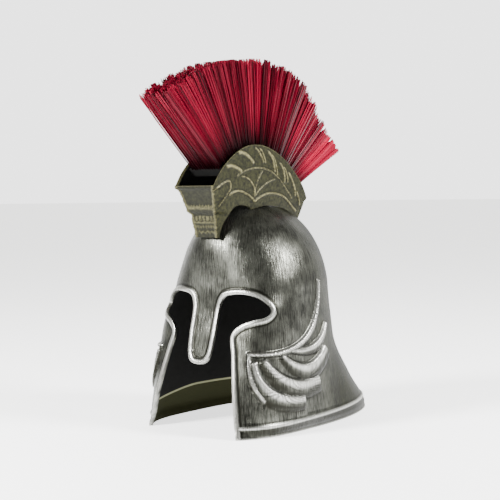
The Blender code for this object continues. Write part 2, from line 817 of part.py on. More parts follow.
def plume(material):
    """Bristles in locks, fused to one fan-shaped body."""
    sections = []
    columns = 2 * LOCK_COUNT
    rng = np.random.default_rng(7)
    for i in range(columns + 1):
        share = i / columns
        turn = -FAN_FRONT + share * (FAN_FRONT + FAN_REAR)
        swell = LOCK_DEPTH * (1 if i % 2 else -1)
        ragged = TIP_RAGGED * (rng.uniform(-0.3, 0.8) if i % 2 else rng.uniform(-1.8, -0.6))
        tip = TIP_RADIUS * np.interp(share, *np.array(TIPS).T) + ragged
        root_turn = turn * (1 - BLOCK_SHORT / FAN_FRONT)
        root = float(top_radius(root_turn)) - BLOCK_DROP + SEAT_GAP
        section = []
        for side in (-1, 1):
            rows = ((0.0, 0.0), (0.35, 0.5), (0.75, 0.9), (1.0, 1.0))
            for rise, widen in rows if side < 0 else rows[::-1]:
                reach = root + rise * (tip - root)
                half = PLUME_ROOT + widen * (PLUME_TIP - PLUME_ROOT) + swell * min(1.0, 2 * rise)
                lean = root_turn + rise * (turn - root_turn)
                section.append((side * half, *crest_point(reach, lean)))
            if side < 0:
                peak = tip + 0.3 * TIP_RAGGED
                section.append((0.0, *crest_point(peak, turn)))
        sections.append(section)
    return loft("plume", material, sections)


def centre_over_floor(objects):
    """Moves the pieces together so that the middle of their box is over the origin."""
    depths = [corner.co.y for obj in objects for corner in obj.data.vertices]
    middle = (min(depths) + max(depths)) / 2
    for obj in objects:
        for corner in obj.data.vertices:
            corner.co.y -= middle


clear_scene()
pewter = metal("antique_silver", (0.36, 0.36, 0.33), 0.9, 0.38)
bronze = metal("olive_bronze", (0.16, 0.16, 0.10), 0.8, 0.45)
black = metal("black_block", (0.01, 0.01, 0.012), 0.0, 0.7)
crimson = metal("crimson_bristle", (0.36, 0.008, 0.025), 0.0, 0.45)
centre_over_floor(
    [head_shell(pewter), crest_holder(bronze), brush_block(black), plume(crimson)]
)
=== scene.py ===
# %% [markdown]
# # A Greek helmet with a bristle crest
# This lesson dresses a plain solid model of a helmet as a finished object. The solid has the
# right sizes but coarse faces. The dressed pieces take the same sizes with finer faces, and then
# get paint, wear and thousands of bristles.

# %% Load the solid model
import math

import bmesh
import bpy
import numpy as np
from mathutils import Matrix, Vector, noise
from mathutils.geometry import delaunay_2d_cdt
from mathutils.kdtree import KDTree


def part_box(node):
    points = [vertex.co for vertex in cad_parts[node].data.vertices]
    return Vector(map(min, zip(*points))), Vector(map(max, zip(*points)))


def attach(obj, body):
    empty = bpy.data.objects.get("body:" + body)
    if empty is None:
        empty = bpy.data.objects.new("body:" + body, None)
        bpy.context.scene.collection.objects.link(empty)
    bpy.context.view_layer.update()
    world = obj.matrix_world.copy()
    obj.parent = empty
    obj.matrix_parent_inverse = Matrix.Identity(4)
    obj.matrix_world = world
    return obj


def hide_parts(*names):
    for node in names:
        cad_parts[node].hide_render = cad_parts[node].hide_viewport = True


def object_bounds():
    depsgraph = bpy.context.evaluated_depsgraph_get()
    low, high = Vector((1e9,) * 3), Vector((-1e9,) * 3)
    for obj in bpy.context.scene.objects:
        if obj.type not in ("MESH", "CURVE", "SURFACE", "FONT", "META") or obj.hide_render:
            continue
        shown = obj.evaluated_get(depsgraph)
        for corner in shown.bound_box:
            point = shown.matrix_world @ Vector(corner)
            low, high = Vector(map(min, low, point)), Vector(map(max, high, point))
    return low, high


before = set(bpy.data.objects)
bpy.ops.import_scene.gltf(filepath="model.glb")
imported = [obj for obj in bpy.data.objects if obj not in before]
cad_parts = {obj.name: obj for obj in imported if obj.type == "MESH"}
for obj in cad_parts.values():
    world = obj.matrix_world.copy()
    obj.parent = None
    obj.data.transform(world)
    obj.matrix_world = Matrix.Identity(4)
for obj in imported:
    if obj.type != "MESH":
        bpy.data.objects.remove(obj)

solid_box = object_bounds()
print("solid model", [round(1000 * (b - a), 1) for a, b in zip(*solid_box)], "mm")

# %% [markdown]
# ## Paint from nodes
# Each finish is a small network of nodes. One function adds a node with its settings and its
# links, and the short ones after it name the few kinds of node that come back, so that a
# network reads from top to bottom. Colours are written as the hex codes that a painter would
# pick from a screen, and one function turns them into what a shader takes.

# %% Helpers for materials
def linear(code):
    """A hex colour as the linear values that a shader takes."""
    shares = [int(code[i : i + 2], 16) / 255 for i in (1, 3, 5)]
    return (*[s / 12.92 if s <= 0.04045 else ((s + 0.055) / 1.055) ** 2.4 for s in shares], 1.0)


def add_node(tree, kind, links, **settings):
    """One node with its settings, and for each input a value or another node's output."""
    node = tree.nodes.new("ShaderNode" + kind)
    for name, value in settings.items():
        setattr(node, name, value)
    for place, source in links.items():
        if isinstance(source, bpy.types.NodeSocket):
            tree.links.new(source, node.inputs[place])
        else:
            node.inputs[place].default_value = source
    return node


def stored(tree, name):
    """The number that the mesh keeps under a name."""
    return add_node(tree, "Attribute", {}, attribute_name=name).outputs["Fac"]


def object_place(tree):
    return add_node(tree, "TexCoord", {}).outputs["Object"]


def speckles(tree, vector, size, detail, roughness=0.5):
    """Noise whose spots have a real size."""
    links = {"Vector": vector, "Scale": 1 / size, "Detail": detail, "Roughness": roughness}
    return add_node(tree, "TexNoise", links).outputs["Fac"]


def ramp(tree, value, low, high, first=0.0, last=1.0, kind="LINEAR"):
    """The way of a value from low to high, as a way from first to last."""
    links = {0: value, 1: low, 2: high, 3: first, 4: last}
    return add_node(tree, "MapRange", links, interpolation_type=kind).outputs[0]


def mix(tree, share, first, last):
    """A number between two."""
    return add_node(tree, "Mix", {0: share, 2: first, 3: last}).outputs[0]


def blend(tree, share, first, last):
    """A colour between two, each a hex code or a node's output."""
    first, last = (linear(c) if isinstance(c, str) else c for c in (first, last))
    return add_node(tree, "Mix", {0: share, 6: first, 7: last}, data_type="RGBA").outputs[2]


def new_finish(name, metallic, roughness, sheen=0.5):
    material = bpy.data.materials.new(name)
    material.use_nodes = True
    inputs = material.node_tree.nodes["Principled BSDF"].inputs
    inputs["Metallic"].default_value = metallic
    inputs["Roughness"].default_value = roughness
    inputs["Specular IOR Level"].default_value = sheen
    return material, material.node_tree, inputs


def wash_rub_and_paint_light(tree, coat, dark, marks, low, high, pale):
    """A coat with a dark wash and painted shade in its hollows, and pale paint where the raised edges
    wore through, together with painted highlights.
    """
    deep = blend(tree, stored(tree, "wash_and_shade"), coat, dark)
    rub = ramp(tree, marks, low, high)
    rub_and_highlight = add_node(tree, "Math", {0: stored(tree, "wear_and_highlight"), 1: rub}, operation="MULTIPLY")
    return blend(tree, rub_and_highlight.outputs[0], deep, pale)


def raise_marks(tree, inputs, height, strength):
    links = {"Height": height, "Strength": strength, "Distance": CHIP}
    tree.links.new(add_node(tree, "Bump", links).outputs[0], inputs["Normal"])


# %% [markdown]
# ## Antique silver
# The shell is moulded plastic, sprayed with silver and then brushed with thin dark paint from
# top to bottom. Most of the dark paint is wiped off again. It stays in the hollows, and the
# raised edges shine through. Towards the back the coat is painted a dull, darker olive, a
# painted shade for the dark edge where the shell turns away. On the wing, the feather tops get
# a painted highlight and their undersides painted shade. The brush marks run up and down the
# shell, so the noise is stretched along a direction that is stored on the mesh and follows the
# surface.

# %% Antique silver paint, dry-brushed: long streaks, bright edges, dark hollows, with painted highlights and shade on the wing and painted shade at the back
STREAK = 0.0011  # one brush hair's mark is drawn 1.1 mm wide, coarser than it is, so that it shows
SMEAR = 0.022  # a patch that the cloth wiped
CHIP = 0.0007  # how deep a mark in the paint goes, a little more than it does, so that it shows
FOIL = 0.92  # how metallic the silver is where it is wiped clean

silver, tree, inputs = new_finish("antique_silver_paint", FOIL, 0.28)
way = add_node(tree, "Attribute", {}, attribute_name="stroke_way")
streaks = speckles(tree, way.outputs["Vector"], STREAK, 3.0, 0.6)
smears = speckles(tree, object_place(tree), SMEAR, 4.0, 0.6)
paint = mix(tree, 0.38, streaks, smears)
cover = ramp(tree, paint, 0.36, 0.66, kind="SMOOTHSTEP")
wiped = blend(tree, cover, "#171713", "#5e5f58")
# painted shade: a darker, duller olive coat for the back of the shell
back_shade_coat = blend(tree, cover, "#0b0c06", "#242516")
back_shade = stored(tree, "back_shade")
coat = blend(tree, back_shade, wiped, back_shade_coat)
# 15150f is wash in the hollows and painted shade under the feathers; #bcbcb6 is silver showing on worn
# edges and a painted highlight on the feather tops
bright = wash_rub_and_paint_light(tree, coat, "#15150f", streaks, 0.12, 0.56, "#bcbcb6")
gloss = ramp(tree, streaks, 0.3, 0.7, 0.42, 0.24)
tree.links.new(bright, inputs["Base Color"])
# the painted shade at the back is also less metallic and less glossy
tree.links.new(mix(tree, back_shade, FOIL, 0.5), inputs["Metallic"])
tree.links.new(mix(tree, back_shade, 0.5, 0.08), inputs["Specular IOR Level"])
tree.links.new(mix(tree, back_shade, gloss, 0.5), inputs["Roughness"])
raise_marks(tree, inputs, paint, 0.6)
print("antique silver:", len(tree.nodes), "nodes")

# %% [markdown]
# ## Olive bronze
# The crest holder is a second moulding. Its base coat is a dark olive, rubbed over with a pale
# straw colour that catches on the carving, and its upper edge also gets a painted highlight. It is less
# shiny than the shell.

# %% Olive bronze paint, dry-brushed with straw on the carving
GRAIN = 0.0035

bronze, tree, inputs = new_finish("olive_bronze_paint", 0.35, 0.5, 0.15)
grain = speckles(tree, object_place(tree), GRAIN, 4.0, 0.65)
coat = blend(tree, ramp(tree, grain, 0.35, 0.65), "#12120a", "#2e2e1a")
bright = wash_rub_and_paint_light(tree, coat, "#0c0c08", grain, 0.25, 0.65, "#857f5a")
tree.links.new(bright, inputs["Base Color"])
tree.links.new(ramp(tree, grain, 0.3, 0.7, 0.58, 0.42), inputs["Roughness"])
raise_marks(tree, inputs, grain, 0.3)
print("olive bronze:", len(tree.nodes), "nodes")

# %% [markdown]
# ## Bare black inside
# Nobody paints the inside of the moulding, so it stays the near-black of the plastic, with the
# faint mottle of the mould. A low band inside the foot is coloured an olive haze, and its top
# edge gets a thin pale line, a painted highlight. The block under the bristles has the same black.

# %% Black moulded plastic, matt
black, tree, inputs = new_finish("black_moulded_plastic", 0.0, 0.8, 0.15)
mottle = speckles(tree, object_place(tree), GRAIN, 3.0)
tone = blend(tree, mottle, "#060606", "#0f0f0d")
haze = blend(tree, stored(tree, "olive_low_band"), tone, "#2b2c17")
# the pale line along the top of the olive band is a painted highlight
tree.links.new(blend(tree, stored(tree, "hem_and_painted_glint"), haze, "#8f9070"), inputs["Base Color"])
raise_marks(tree, inputs, mottle, 0.3)
print("black plastic:", len(tree.nodes), "nodes")

# %% [markdown]
# ## Crimson bristles
# The crest is a stiff brush of extruded plastic hairs. Dyed plastic is never even: each hair
# has its own shade. The roots look nearly black, because little light gets down between the
# hairs. Both are stored on the mesh, one number for the shade and one for the place along the
# hair. The number for the shade also carries a painted highlight on the bristles at the rear.

# %% Crimson nylon, extruded: satin, nearly black at the root
crimson, tree, inputs = new_finish("crimson_nylon_bristle", 0.0, 0.38, 0.08)
# the pale end of this blend is mostly the painted highlight at the rear of the crest
dye_and_rear_light = blend(tree, stored(tree, "shade"), "#1e0106", "#c01c40")
lit = ramp(tree, stored(tree, "along"), 0.0, 0.55, kind="SMOOTHSTEP")
tree.links.new(blend(tree, lit, "#100103", dye_and_rear_light), inputs["Base Color"])
print("four finishes ready")

# %% [markdown]
# ## The shape of the shell
# A helmet shell has no straight lines, so it is described by sections: at a few heights, how
# wide it is and how far it reaches to the front and to the rear. A smooth curve through each
# column of the table gives every height between. The same table drives the solid model.

# %% Named sizes of the shell
HEIGHT = 0.289
DOME_START = 0.179
SHELL_WALL = 0.003
CROWN_RING = 0.006
HALF_WIDTH = 0.101
FRONT_REACH = 0.137
REAR_REACH = 0.200

# Its sections: share of HEIGHT, of HALF_WIDTH, of FRONT_REACH and of REAR_REACH
SECTIONS = (
    (0.00, 1.000, 1.000, 1.000),
    (0.04, 1.066, 0.933, 0.967),
    (0.18, 1.020, 0.862, 0.785),
    (0.40, 0.983, 0.740, 0.564),
    (0.62, 0.945, 0.646, 0.552),
)

# How square the front half of each section is: share of HEIGHT, exponent
FRONT_SQUARE = (
    (0.00, 3.42),
    (0.20, 4.20),
    (0.40, 4.45),
    (0.50, 4.24),
    (0.62, 2.81),
    (0.75, 2.21),
    (1.00, 1.95),
)

# The same for the rear half
REAR_SQUARE = (
    (0.00, 2.20),
    (0.40, 2.03),
    (0.75, 1.82),
    (1.00, 1.99),
)

# How full the dome is to the side, to the front and to the rear
DOME_SIDE = 1.82
DOME_FRONT = 3.30
DOME_REAR = 2.02

# The face opening, half of it, from the tip of the nose guard to the foot of the cheek
EYE_TURN = math.radians(58)
BROW_RISE = 0.1835

# Share of EYE_TURN, share of BROW_RISE
OPENING = (
    (0.000, 0.463),
    (0.080, 0.472),
    (0.140, 0.498),
    (0.176, 0.545),
    (0.192, 0.603),
    (0.208, 0.688),
    (0.218, 0.770),
    (0.237, 0.858),
    (0.294, 0.922),
    (0.413, 0.943),
    (0.574, 0.947),
    (0.742, 0.927),
    (0.871, 0.876),
    (0.896, 0.833),
    (0.824, 0.797),
    (0.698, 0.777),
    (0.569, 0.747),
    (0.471, 0.700),
    (0.441, 0.644),
    (0.463, 0.550),
    (0.480, 0.417),
    (0.497, 0.266),
    (0.514, 0.117),
    (0.535, 0.000),
)


# %% Curves through a table
def column(rows, index, at):
    """One column of a table at any place, smooth and with no overshoot."""
    table = np.array(rows, float)
    places, values = table[:, 0], table[:, index]
    runs = np.diff(places)
    slopes = np.diff(values) / runs
    before = np.concatenate([slopes[:1], slopes])
    after = np.concatenate([slopes, [0.0]])
    agree = before * after > 0
    tangents = np.where(agree, 2 * before * after / np.where(agree, before + after, 1), 0)
    step = np.clip(np.searchsorted(places, at) - 1, 0, len(runs) - 1)
    run = runs[step]
    share = np.clip((at - places[step]) / run, 0, 1)
    rise = 3 * share**2 - 2 * share**3
    start = share * (1 - share) ** 2 * tangents[step]
    end = share**2 * (share - 1) * tangents[step + 1]
    return values[step] + rise * (values[step + 1] - values[step]) + run * (start + end)


def smooth_line(rows, pieces):
    """A line through every row, with the same number of pieces between two rows."""
    points = np.array(rows, float)
    ends = np.vstack([2 * points[0] - points[1], points, 2 * points[-1] - points[-2]])
    share = np.arange(pieces)[:, None] / pieces
    line = []
    for i in range(len(points) - 1):
        before, start, end, after = ends[i : i + 4]
        line.append(
            start
            + 0.5 * share * (end - before)
            + share**2 * (before - 2.5 * start + 2 * end - 0.5 * after)
            + 0.5 * share**3 * (after - before + 3 * (start - end))
        )
    return np.vstack([*line, points[-1:]])


# %% The shell's surface, from a turn round the head and a climb up its side
def unit(rows):
    """Each row as a direction of length 1."""
    return rows / np.linalg.norm(rows, axis=-1, keepdims=True)


def half_sizes(z):
    low = np.minimum(z, DOME_START) / HEIGHT
    rise = np.clip((z - DOME_START) / (HEIGHT - DOME_START), 0, 1)
    sizes = []
    widest = (HALF_WIDTH, FRONT_REACH, REAR_REACH)
    for index, (size, full) in enumerate(zip(widest, (DOME_SIDE, DOME_FRONT, DOME_REAR))):
        share = column(SECTIONS, index + 1, low)
        sizes.append(size * share * (1 - rise**full) ** (1 / full))
    return sizes


def shell_radius(turn, z):
    side, front, rear = (np.maximum(size, 1e-6) for size in half_sizes(z))
    ahead = np.cos(turn) >= 0
    reach = np.where(ahead, front, rear)
    front_power, rear_power = (column(rows, 1, z / HEIGHT) for rows in (FRONT_SQUARE, REAR_SQUARE))
    power = np.where(ahead, front_power, rear_power)
    across = (np.abs(np.sin(turn)) / side) ** power
    along = (np.abs(np.cos(turn)) / reach) ** power
    return (across + along) ** (-1 / power)


def height_of(climb):
    bend = np.clip((climb - DOME_START) / (HEIGHT - DOME_START), 0, math.pi / 2)
    return np.minimum(climb, DOME_START) + (HEIGHT - DOME_START) * np.sin(bend)


def climb_of(z):
    bend = np.clip((z - DOME_START) / (HEIGHT - DOME_START), 0, 1)
    return np.minimum(z, DOME_START) + (HEIGHT - DOME_START) * np.arcsin(bend)


def round_point(turn, climb):
    z = height_of(climb)
    radius = shell_radius(turn, z)
    return np.stack([radius * np.sin(turn), -radius * np.cos(turn), z], axis=-1)


def round_normal(turn, climb):
    step = 1e-4
    across = round_point(turn + step, climb) - round_point(turn - step, climb)
    upward = round_point(turn, climb + step) - round_point(turn, climb - step)
    return unit(np.cross(across, upward))


# %% A flat map of the shell that keeps angles
CLIMBS = np.linspace(0.0, climb_of(HEIGHT) - CROWN_RING, 600)
GIRTHS = np.mean([shell_radius(t, height_of(CLIMBS)) for t in np.linspace(0, math.pi, 13)], axis=0)
LEVELS = np.concatenate([[0.0], np.cumsum(np.diff(CLIMBS) * 2 / (GIRTHS[1:] + GIRTHS[:-1]))])


def level_of(climb):
    return np.interp(climb, CLIMBS, LEVELS)


def climb_at(level):
    return np.interp(level, LEVELS, CLIMBS)


def shell_place(flat):
    return round_point(flat[:, 0], climb_at(flat[:, 1]))


def opening_line(pieces):
    rows = np.array(OPENING) * (EYE_TURN, BROW_RISE)
    line = smooth_line(rows, pieces)
    line[:, 0] = np.maximum(line[:, 0], 0.0)
    return np.column_stack([line[:, 0], level_of(climb_of(np.maximum(line[:, 1], 0.0)))])


# %% [markdown]
# ## The wing and the raised edges
# The wing on the cheek is cast with the shell. Each feather is a rounded ridge that rises fast
# at its upper edge and falls slowly to its lower one, so the light catches the top and the
# underside stays dark. The paint adds to this: the top of each feather gets a painted highlight
# and its underside painted shade. The bead round the eyes and the band round the foot are
# half-round.

# %% Named sizes of the raised work
BEAD_WIDTH = 0.0065
BEAD_HEIGHT = 0.0022
BAND_FRONT = 0.012
BAND_REAR = 0.020
BAND_WIDTH = 0.005
BAND_HEIGHT = 0.0016
WING_TURN = math.radians(37.5)
WING_LOW = 0.028
WING_LENGTH = 0.122
WING_HEIGHT = 0.158
WING_RADIUS = 0.100
WING_RELIEF = 0.0042
WING_RIDGE = 0.0030
FEATHER_WIDTH = 0.025
FEATHERS = (
    # start, bend and tip, each as shares along and up, the width as a share, the narrowing
    (0.000, 0.470, 0.830, 0.440, 0.907, 1.000, 0.45, 0.9),
    (0.400, 0.480, 0.820, 0.440, 1.000, 0.650, 0.60, 0.8),
    (0.310, 0.440, 0.620, 0.240, 0.936, 0.470, 0.95, 0.2),
    (0.136, 0.415, 0.340, 0.160, 0.790, 0.235, 0.88, 0.1),
    (0.050, 0.400, 0.100, 0.100, 0.544, 0.100, 0.70, 0.1),
    (0.000, 0.470, 0.000, 0.270, 0.110, 0.110, 0.20, 0.6),
)


# %% How far each place of the shell stands out, how its paint is worn, and where highlight and shade are painted
def ridge(distance, width):
    """A rounded ridge: 1 on its line and 0 at half its width."""
    return np.sqrt(np.clip(1 - (2 * distance / width) ** 2, 0, 1))


def slope(value, low, high):
    """0 below low, 1 above high, and an even turn between."""
    share = np.clip((value - low) / (high - low), 0, 1)
    return share * share * (3 - 2 * share)


def feather_lines(pieces):
    """For each feather its upper edge, the way down from it and its width."""
    share = np.linspace(0, 1, pieces + 1)[:, None]
    lines = []
    for row in FEATHERS:
        start, bend, tip = (np.array(row[k : k + 2]) for k in (0, 2, 4))
        curve = (1 - share) ** 2 * start + 2 * share * (1 - share) * bend + share**2 * tip
        curve = curve * (WING_LENGTH, WING_HEIGHT)
        ahead = unit(np.gradient(curve, axis=0))
        below = np.column_stack([ahead[:, 1], -ahead[:, 0]])
        width = row[6] * FEATHER_WIDTH * np.minimum(1.0, 0.3 + 1.2 * share)
        width = width * (1 - row[7] * share**3)
        lines.append((curve, below, width[:, 0]))
    return lines


def wing_relief(flat):
    """The wing's height, a painted highlight on the top of each feather and painted shade under it."""
    along = (flat[:, 0] - WING_TURN) * WING_RADIUS
    upward = height_of(climb_at(flat[:, 1])) - WING_LOW
    spots = np.column_stack([along, upward])
    relief = np.zeros(len(flat))
    wear_and_highlight = np.zeros(len(flat))
    wash_and_shade = np.zeros(len(flat))
    for curve, below, width in feather_lines(90):
        offsets = spots[:, None] - curve[None]
        nearest = np.linalg.norm(offsets, axis=2).argmin(axis=1)
        offset = offsets[np.arange(len(spots)), nearest]
        down = (offset * below[nearest]).sum(axis=1)
        past = np.sqrt(np.maximum((offset**2).sum(axis=1) - down**2, 0))
        share = down / width[nearest]
        flank = np.sqrt(np.clip(1 - np.clip((share - 0.15) / 0.85, 0, 1) ** 2, 0, 1))
        brow = np.clip(1 + down / WING_RIDGE, 0, 1)
        body = np.clip(1 - past / WING_RIDGE, 0, 1)
        height = np.where(down > 0, flank, brow) * body
        over = height > relief
        relief = np.where(over, height, relief)
        # light is a painted highlight on the upper side of each feather, shadow is painted shade on its
        # underside
        light = slope(down, -WING_RIDGE, 0.0) * (1 - slope(share, 0.22, 0.52)) * body
        shadow = slope(share, 0.40, 0.80) * (1 - slope(share, 1.05, 1.25)) * body
        wear_and_highlight = np.where(over, light, wear_and_highlight * (1 - shadow))
        wash_and_shade = np.where(over, shadow, np.maximum(wash_and_shade, shadow))
    return WING_RELIEF * relief, wear_and_highlight, wash_and_shade


def band_climb(turn):
    return BAND_FRONT + (BAND_REAR - BAND_FRONT) * turn / math.pi


def near_line(line):
    """A tree that finds the nearest point of a line in space."""
    tree = KDTree(len(line))
    for i, point in enumerate(line):
        tree.insert(point, i)
    tree.balance()
    return tree


def edge_relief(flat, edge):
    """The same for the bead round the opening, the groove beside it and the foot band."""
    tree = near_line(shell_place(edge))
    distance = np.array([tree.find(point)[2] for point in shell_place(flat)])
    bead = ridge(distance - 0.4 * BEAD_WIDTH, 1.2 * BEAD_WIDTH) * BEAD_HEIGHT
    climb = climb_at(flat[:, 1])
    foot = climb - band_climb(flat[:, 0])
    band = ridge(foot, BAND_WIDTH) * BAND_HEIGHT
    hem_and_painted_glint = ridge(climb, BAND_WIDTH) * BAND_HEIGHT
    relief = np.maximum.reduce([bead, band, hem_and_painted_glint])
    wear_and_highlight = np.maximum.reduce([
        1 - slope(distance, 0.75 * BEAD_WIDTH, 1.0 * BEAD_WIDTH),
        1 - slope(np.abs(foot), 0.25 * BAND_WIDTH, 0.5 * BAND_WIDTH),
        1 - slope(climb, 0.2 * BAND_WIDTH, 0.5 * BAND_WIDTH),
    ])
    groove = ridge(distance - 1.25 * BEAD_WIDTH, 0.5 * BEAD_WIDTH)
    strip = slope(climb, 0.4 * BAND_WIDTH, 0.7 * BAND_WIDTH)
    strip = strip * slope(-foot, 0.3 * BAND_WIDTH, 0.6 * BAND_WIDTH)
    return relief, wear_and_highlight, np.maximum(groove, 0.75 * strip)


# %% [markdown]
# ## From a flat map to a closed wall
# The half shell is a flat patch with one long border. Blender's triangulator fills the patch
# through any set of spots, so the spots can be close together on the feathers and far apart on
# the plain parts. The filled patch is then wrapped round the head, once as the outer skin and
# once as the inner one, and mirrored. Box modelling can't hold a measured flare and fine
# carving at once, which is why this piece is made from its numbers.

# %% Filling a flat patch
def even_line(points, step, place):
    """The same line with points about one step apart in space."""
    lengths = np.linalg.norm(np.diff(place(points), axis=0), axis=1)
    along = np.concatenate([[0.0], np.cumsum(lengths)])
    at = np.linspace(0.0, along[-1], max(2, round(along[-1] / step) + 1))
    return np.column_stack([np.interp(at, along, points[:, k]) for k in range(2)])


def within(points, loop):
    """Which flat points lie inside a closed loop."""
    inside = np.zeros(len(points), bool)
    for (x0, y0), (x1, y1) in zip(loop, np.roll(loop, -1, axis=0)):
        crosses = (y0 > points[:, 1]) != (y1 > points[:, 1])
        rise = y1 - y0 if y1 != y0 else 1.0
        inside ^= crosses & (points[:, 0] < (x1 - x0) * (points[:, 1] - y0) / rise + x0)
    return inside


def clear_of(spots, taken, place, clearance):
    """The spots that are farther from all taken ones than the clearance, in space."""
    tree = near_line(place(taken))
    return spots[[tree.find(point)[2] > clearance for point in place(spots)]]


def free_spots(spots, loop, taken, place, clearance):
    """The spots inside the loop that keep clear of it and of those taken before them."""
    return clear_of(spots[within(spots, loop)], np.vstack([loop, *taken]), place, clearance)


def fill_loop(loop, spots):
    """Triangles inside a closed flat loop, through every spot."""
    corners = [Vector(point) for point in np.vstack([loop, spots])]
    edges = [(i, (i + 1) % len(loop)) for i in range(len(loop))]
    flat, _, faces, sources, _, _ = delaunay_2d_cdt(corners, edges, [], 0, 1e-7)
    flat = np.array([tuple(point) for point in flat])
    faces = np.array([tuple(face) for face in faces])
    faces = faces[within(flat[faces].mean(axis=1), np.array(loop))]
    found = {source: i for i, given in enumerate(sources) for source in given}
    return flat, faces, [found[i] for i in range(len(loop))]


def two_halves(name, outer, inner, layers, crowned=(), crowns=()):
    """One closed wall from an outer and an inner half skin on the same rim, mirrored."""
    made = bmesh.new()
    values = [(made.verts.layers.float.new(key), numbers) for key, numbers in layers.items()]
    for side in (1, -1):
        rims = []
        for skin, (points, faces, rim) in enumerate((outer, inner)):
            corners = [made.verts.new((side * x, y, z)) for x, y, z in points]
            for face in faces:
                made.faces.new([corners[i] for i in face]).material_index = skin
            for layer, numbers in values:
                if len(numbers) == len(corners):
                    for corner, number in zip(corners, numbers):
                        corner[layer] = number
            rims.append([corners[i] for i in rim])
        for skin, (crown, rim) in enumerate(zip(crowns, rims)):
            tip = made.verts.new(crown)
            for i in crowned:
                made.faces.new([rim[i], rim[i + 1], tip]).material_index = skin
        for i in range(len(rims[0])):
            j = (i + 1) % len(rims[0])
            near, far = rims[0][i], rims[0][j]
            if i not in crowned and max(abs(near.co.x), abs(far.co.x)) > 1e-6:
                made.faces.new([near, rims[1][i], rims[1][j], far])
    seam = [corner for corner in made.verts if abs(corner.co.x) < 1e-6]
    bmesh.ops.remove_doubles(made, verts=seam, dist=1e-6)
    bmesh.ops.recalc_face_normals(made, faces=made.faces)
    mesh = bpy.data.meshes.new(name)
    made.to_mesh(mesh)
    made.free()
    obj = bpy.data.objects.new(name, mesh)
    bpy.context.scene.collection.objects.link(obj)
    return obj


def smooth_faces(obj, degrees):
    """Smooth shading that keeps corners sharper than an angle."""
    bpy.ops.object.select_all(action="DESELECT")
    obj.select_set(True)
    bpy.context.view_layer.objects.active = obj
    bpy.ops.object.shade_smooth_by_angle(angle=math.radians(degrees))
    obj.select_set(False)


# %% The shell's border and its spots
PLAIN_STEP = 0.0036
WING_STEP = 0.0013
BEAD_STEP = 0.0012
LINING_STEP = 0.0045
ROW_SHARE = 0.87  # rows of spots this many steps apart make even triangles
WING_MARGIN = 0.006
WING_BEFORE = 0.008
WING_PAST = 0.012
SEAM_CLEAR = 0.006
FOOT_CLEAR = 0.0006


def at_height(across, height):
    """Flat points in a row, all at one height."""
    return np.column_stack([across, np.full(len(across), height)])


def in_pieces(ends):
    share = np.linspace(0, 1, 200)[:, None]
    return ends[0] + share * (ends[1] - ends[0])


def set_back(line, distance):
    """The opening's line moved into the metal by a distance."""
    step = 1e-4
    here = shell_place(line)
    across = (shell_place(line + (step, 0)) - here) / step
    upward = (shell_place(line + (0, step)) - here) / step
    ahead = unit(np.gradient(here, axis=0))
    away = np.cross(round_normal(line[:, 0], climb_at(line[:, 1])), ahead)
    moved = []
    for a, u, w, point in zip(across, upward, away, line):
        grid = np.array([[a @ a, a @ u], [a @ u, u @ u]])
        moved.append(point + distance * np.linalg.solve(grid, [a @ w, u @ w]))
    return np.array(moved)


def shell_loop(edge, step):
    """The half shell's border: up the brow, round the crown, down the nape, along the foot."""
    top = LEVELS[-1]
    brow = np.array([(0.0, edge[0, 1]), (0.0, top)])
    nape = np.array([(math.pi, top), (math.pi, 0.0)])
    foot = np.array([(math.pi, 0.0), (edge[-1, 0], 0.0)])
    upward = even_line(in_pieces(brow), step, shell_place)
    crown = at_height(np.linspace(0, math.pi, 16), top)
    down = even_line(in_pieces(nape), step, shell_place)
    back = even_line(in_pieces(foot), step, shell_place)
    return np.vstack([upward[:-1], crown[:-1], down[:-1], back[:-1], edge[::-1][:-1]])


def shell_spots(step):
    spots = []
    climb = step / 2
    row = 0
    while climb < CLIMBS[-1] - step / 3:
        girth = math.pi * np.interp(climb, CLIMBS, GIRTHS)
        count = max(3, round(girth / step))
        turns = (np.arange(count) + (0.5 if row % 2 else 0.25)) * math.pi / count
        spots += [(turn, level_of(climb)) for turn in turns]
        climb += step * ROW_SHARE
        row += 1
    return np.array(spots)


def wing_spots(step):
    """Close spots over the wing, in rows that are set off by half a step."""
    spots = []
    for row, up in enumerate(np.arange(-WING_MARGIN, WING_HEIGHT + WING_MARGIN, step * ROW_SHARE)):
        reach = np.arange(-WING_BEFORE, WING_LENGTH + WING_PAST, step) + (step / 2 if row % 2 else 0)
        spots.append(at_height(WING_TURN + reach / WING_RADIUS, level_of(climb_of(WING_LOW + up))))
    spots = np.vstack(spots)
    relief, _, _ = wing_relief(spots)
    tree = near_line(shell_place(spots[relief > 0]))
    return spots[[tree.find(point)[2] < 3 * step for point in shell_place(spots)]]


def strip_spots(edge, step):
    """Rows of spots along the bead and along the foot band."""
    rows = [set_back(edge, reach) for reach in np.arange(step, 1.7 * BEAD_WIDTH, step)]
    turns = np.linspace(edge[-1, 0], math.pi, 170)[1:-1]
    lifts = np.arange(-0.6, 0.61, 0.2) * BAND_WIDTH
    rows += [np.column_stack([turns, level_of(band_climb(turns) + lift)]) for lift in lifts]
    rows += [at_height(turns, level_of(k * step * 0.8)) for k in (1, 2, 3)]
    return np.vstack(rows)


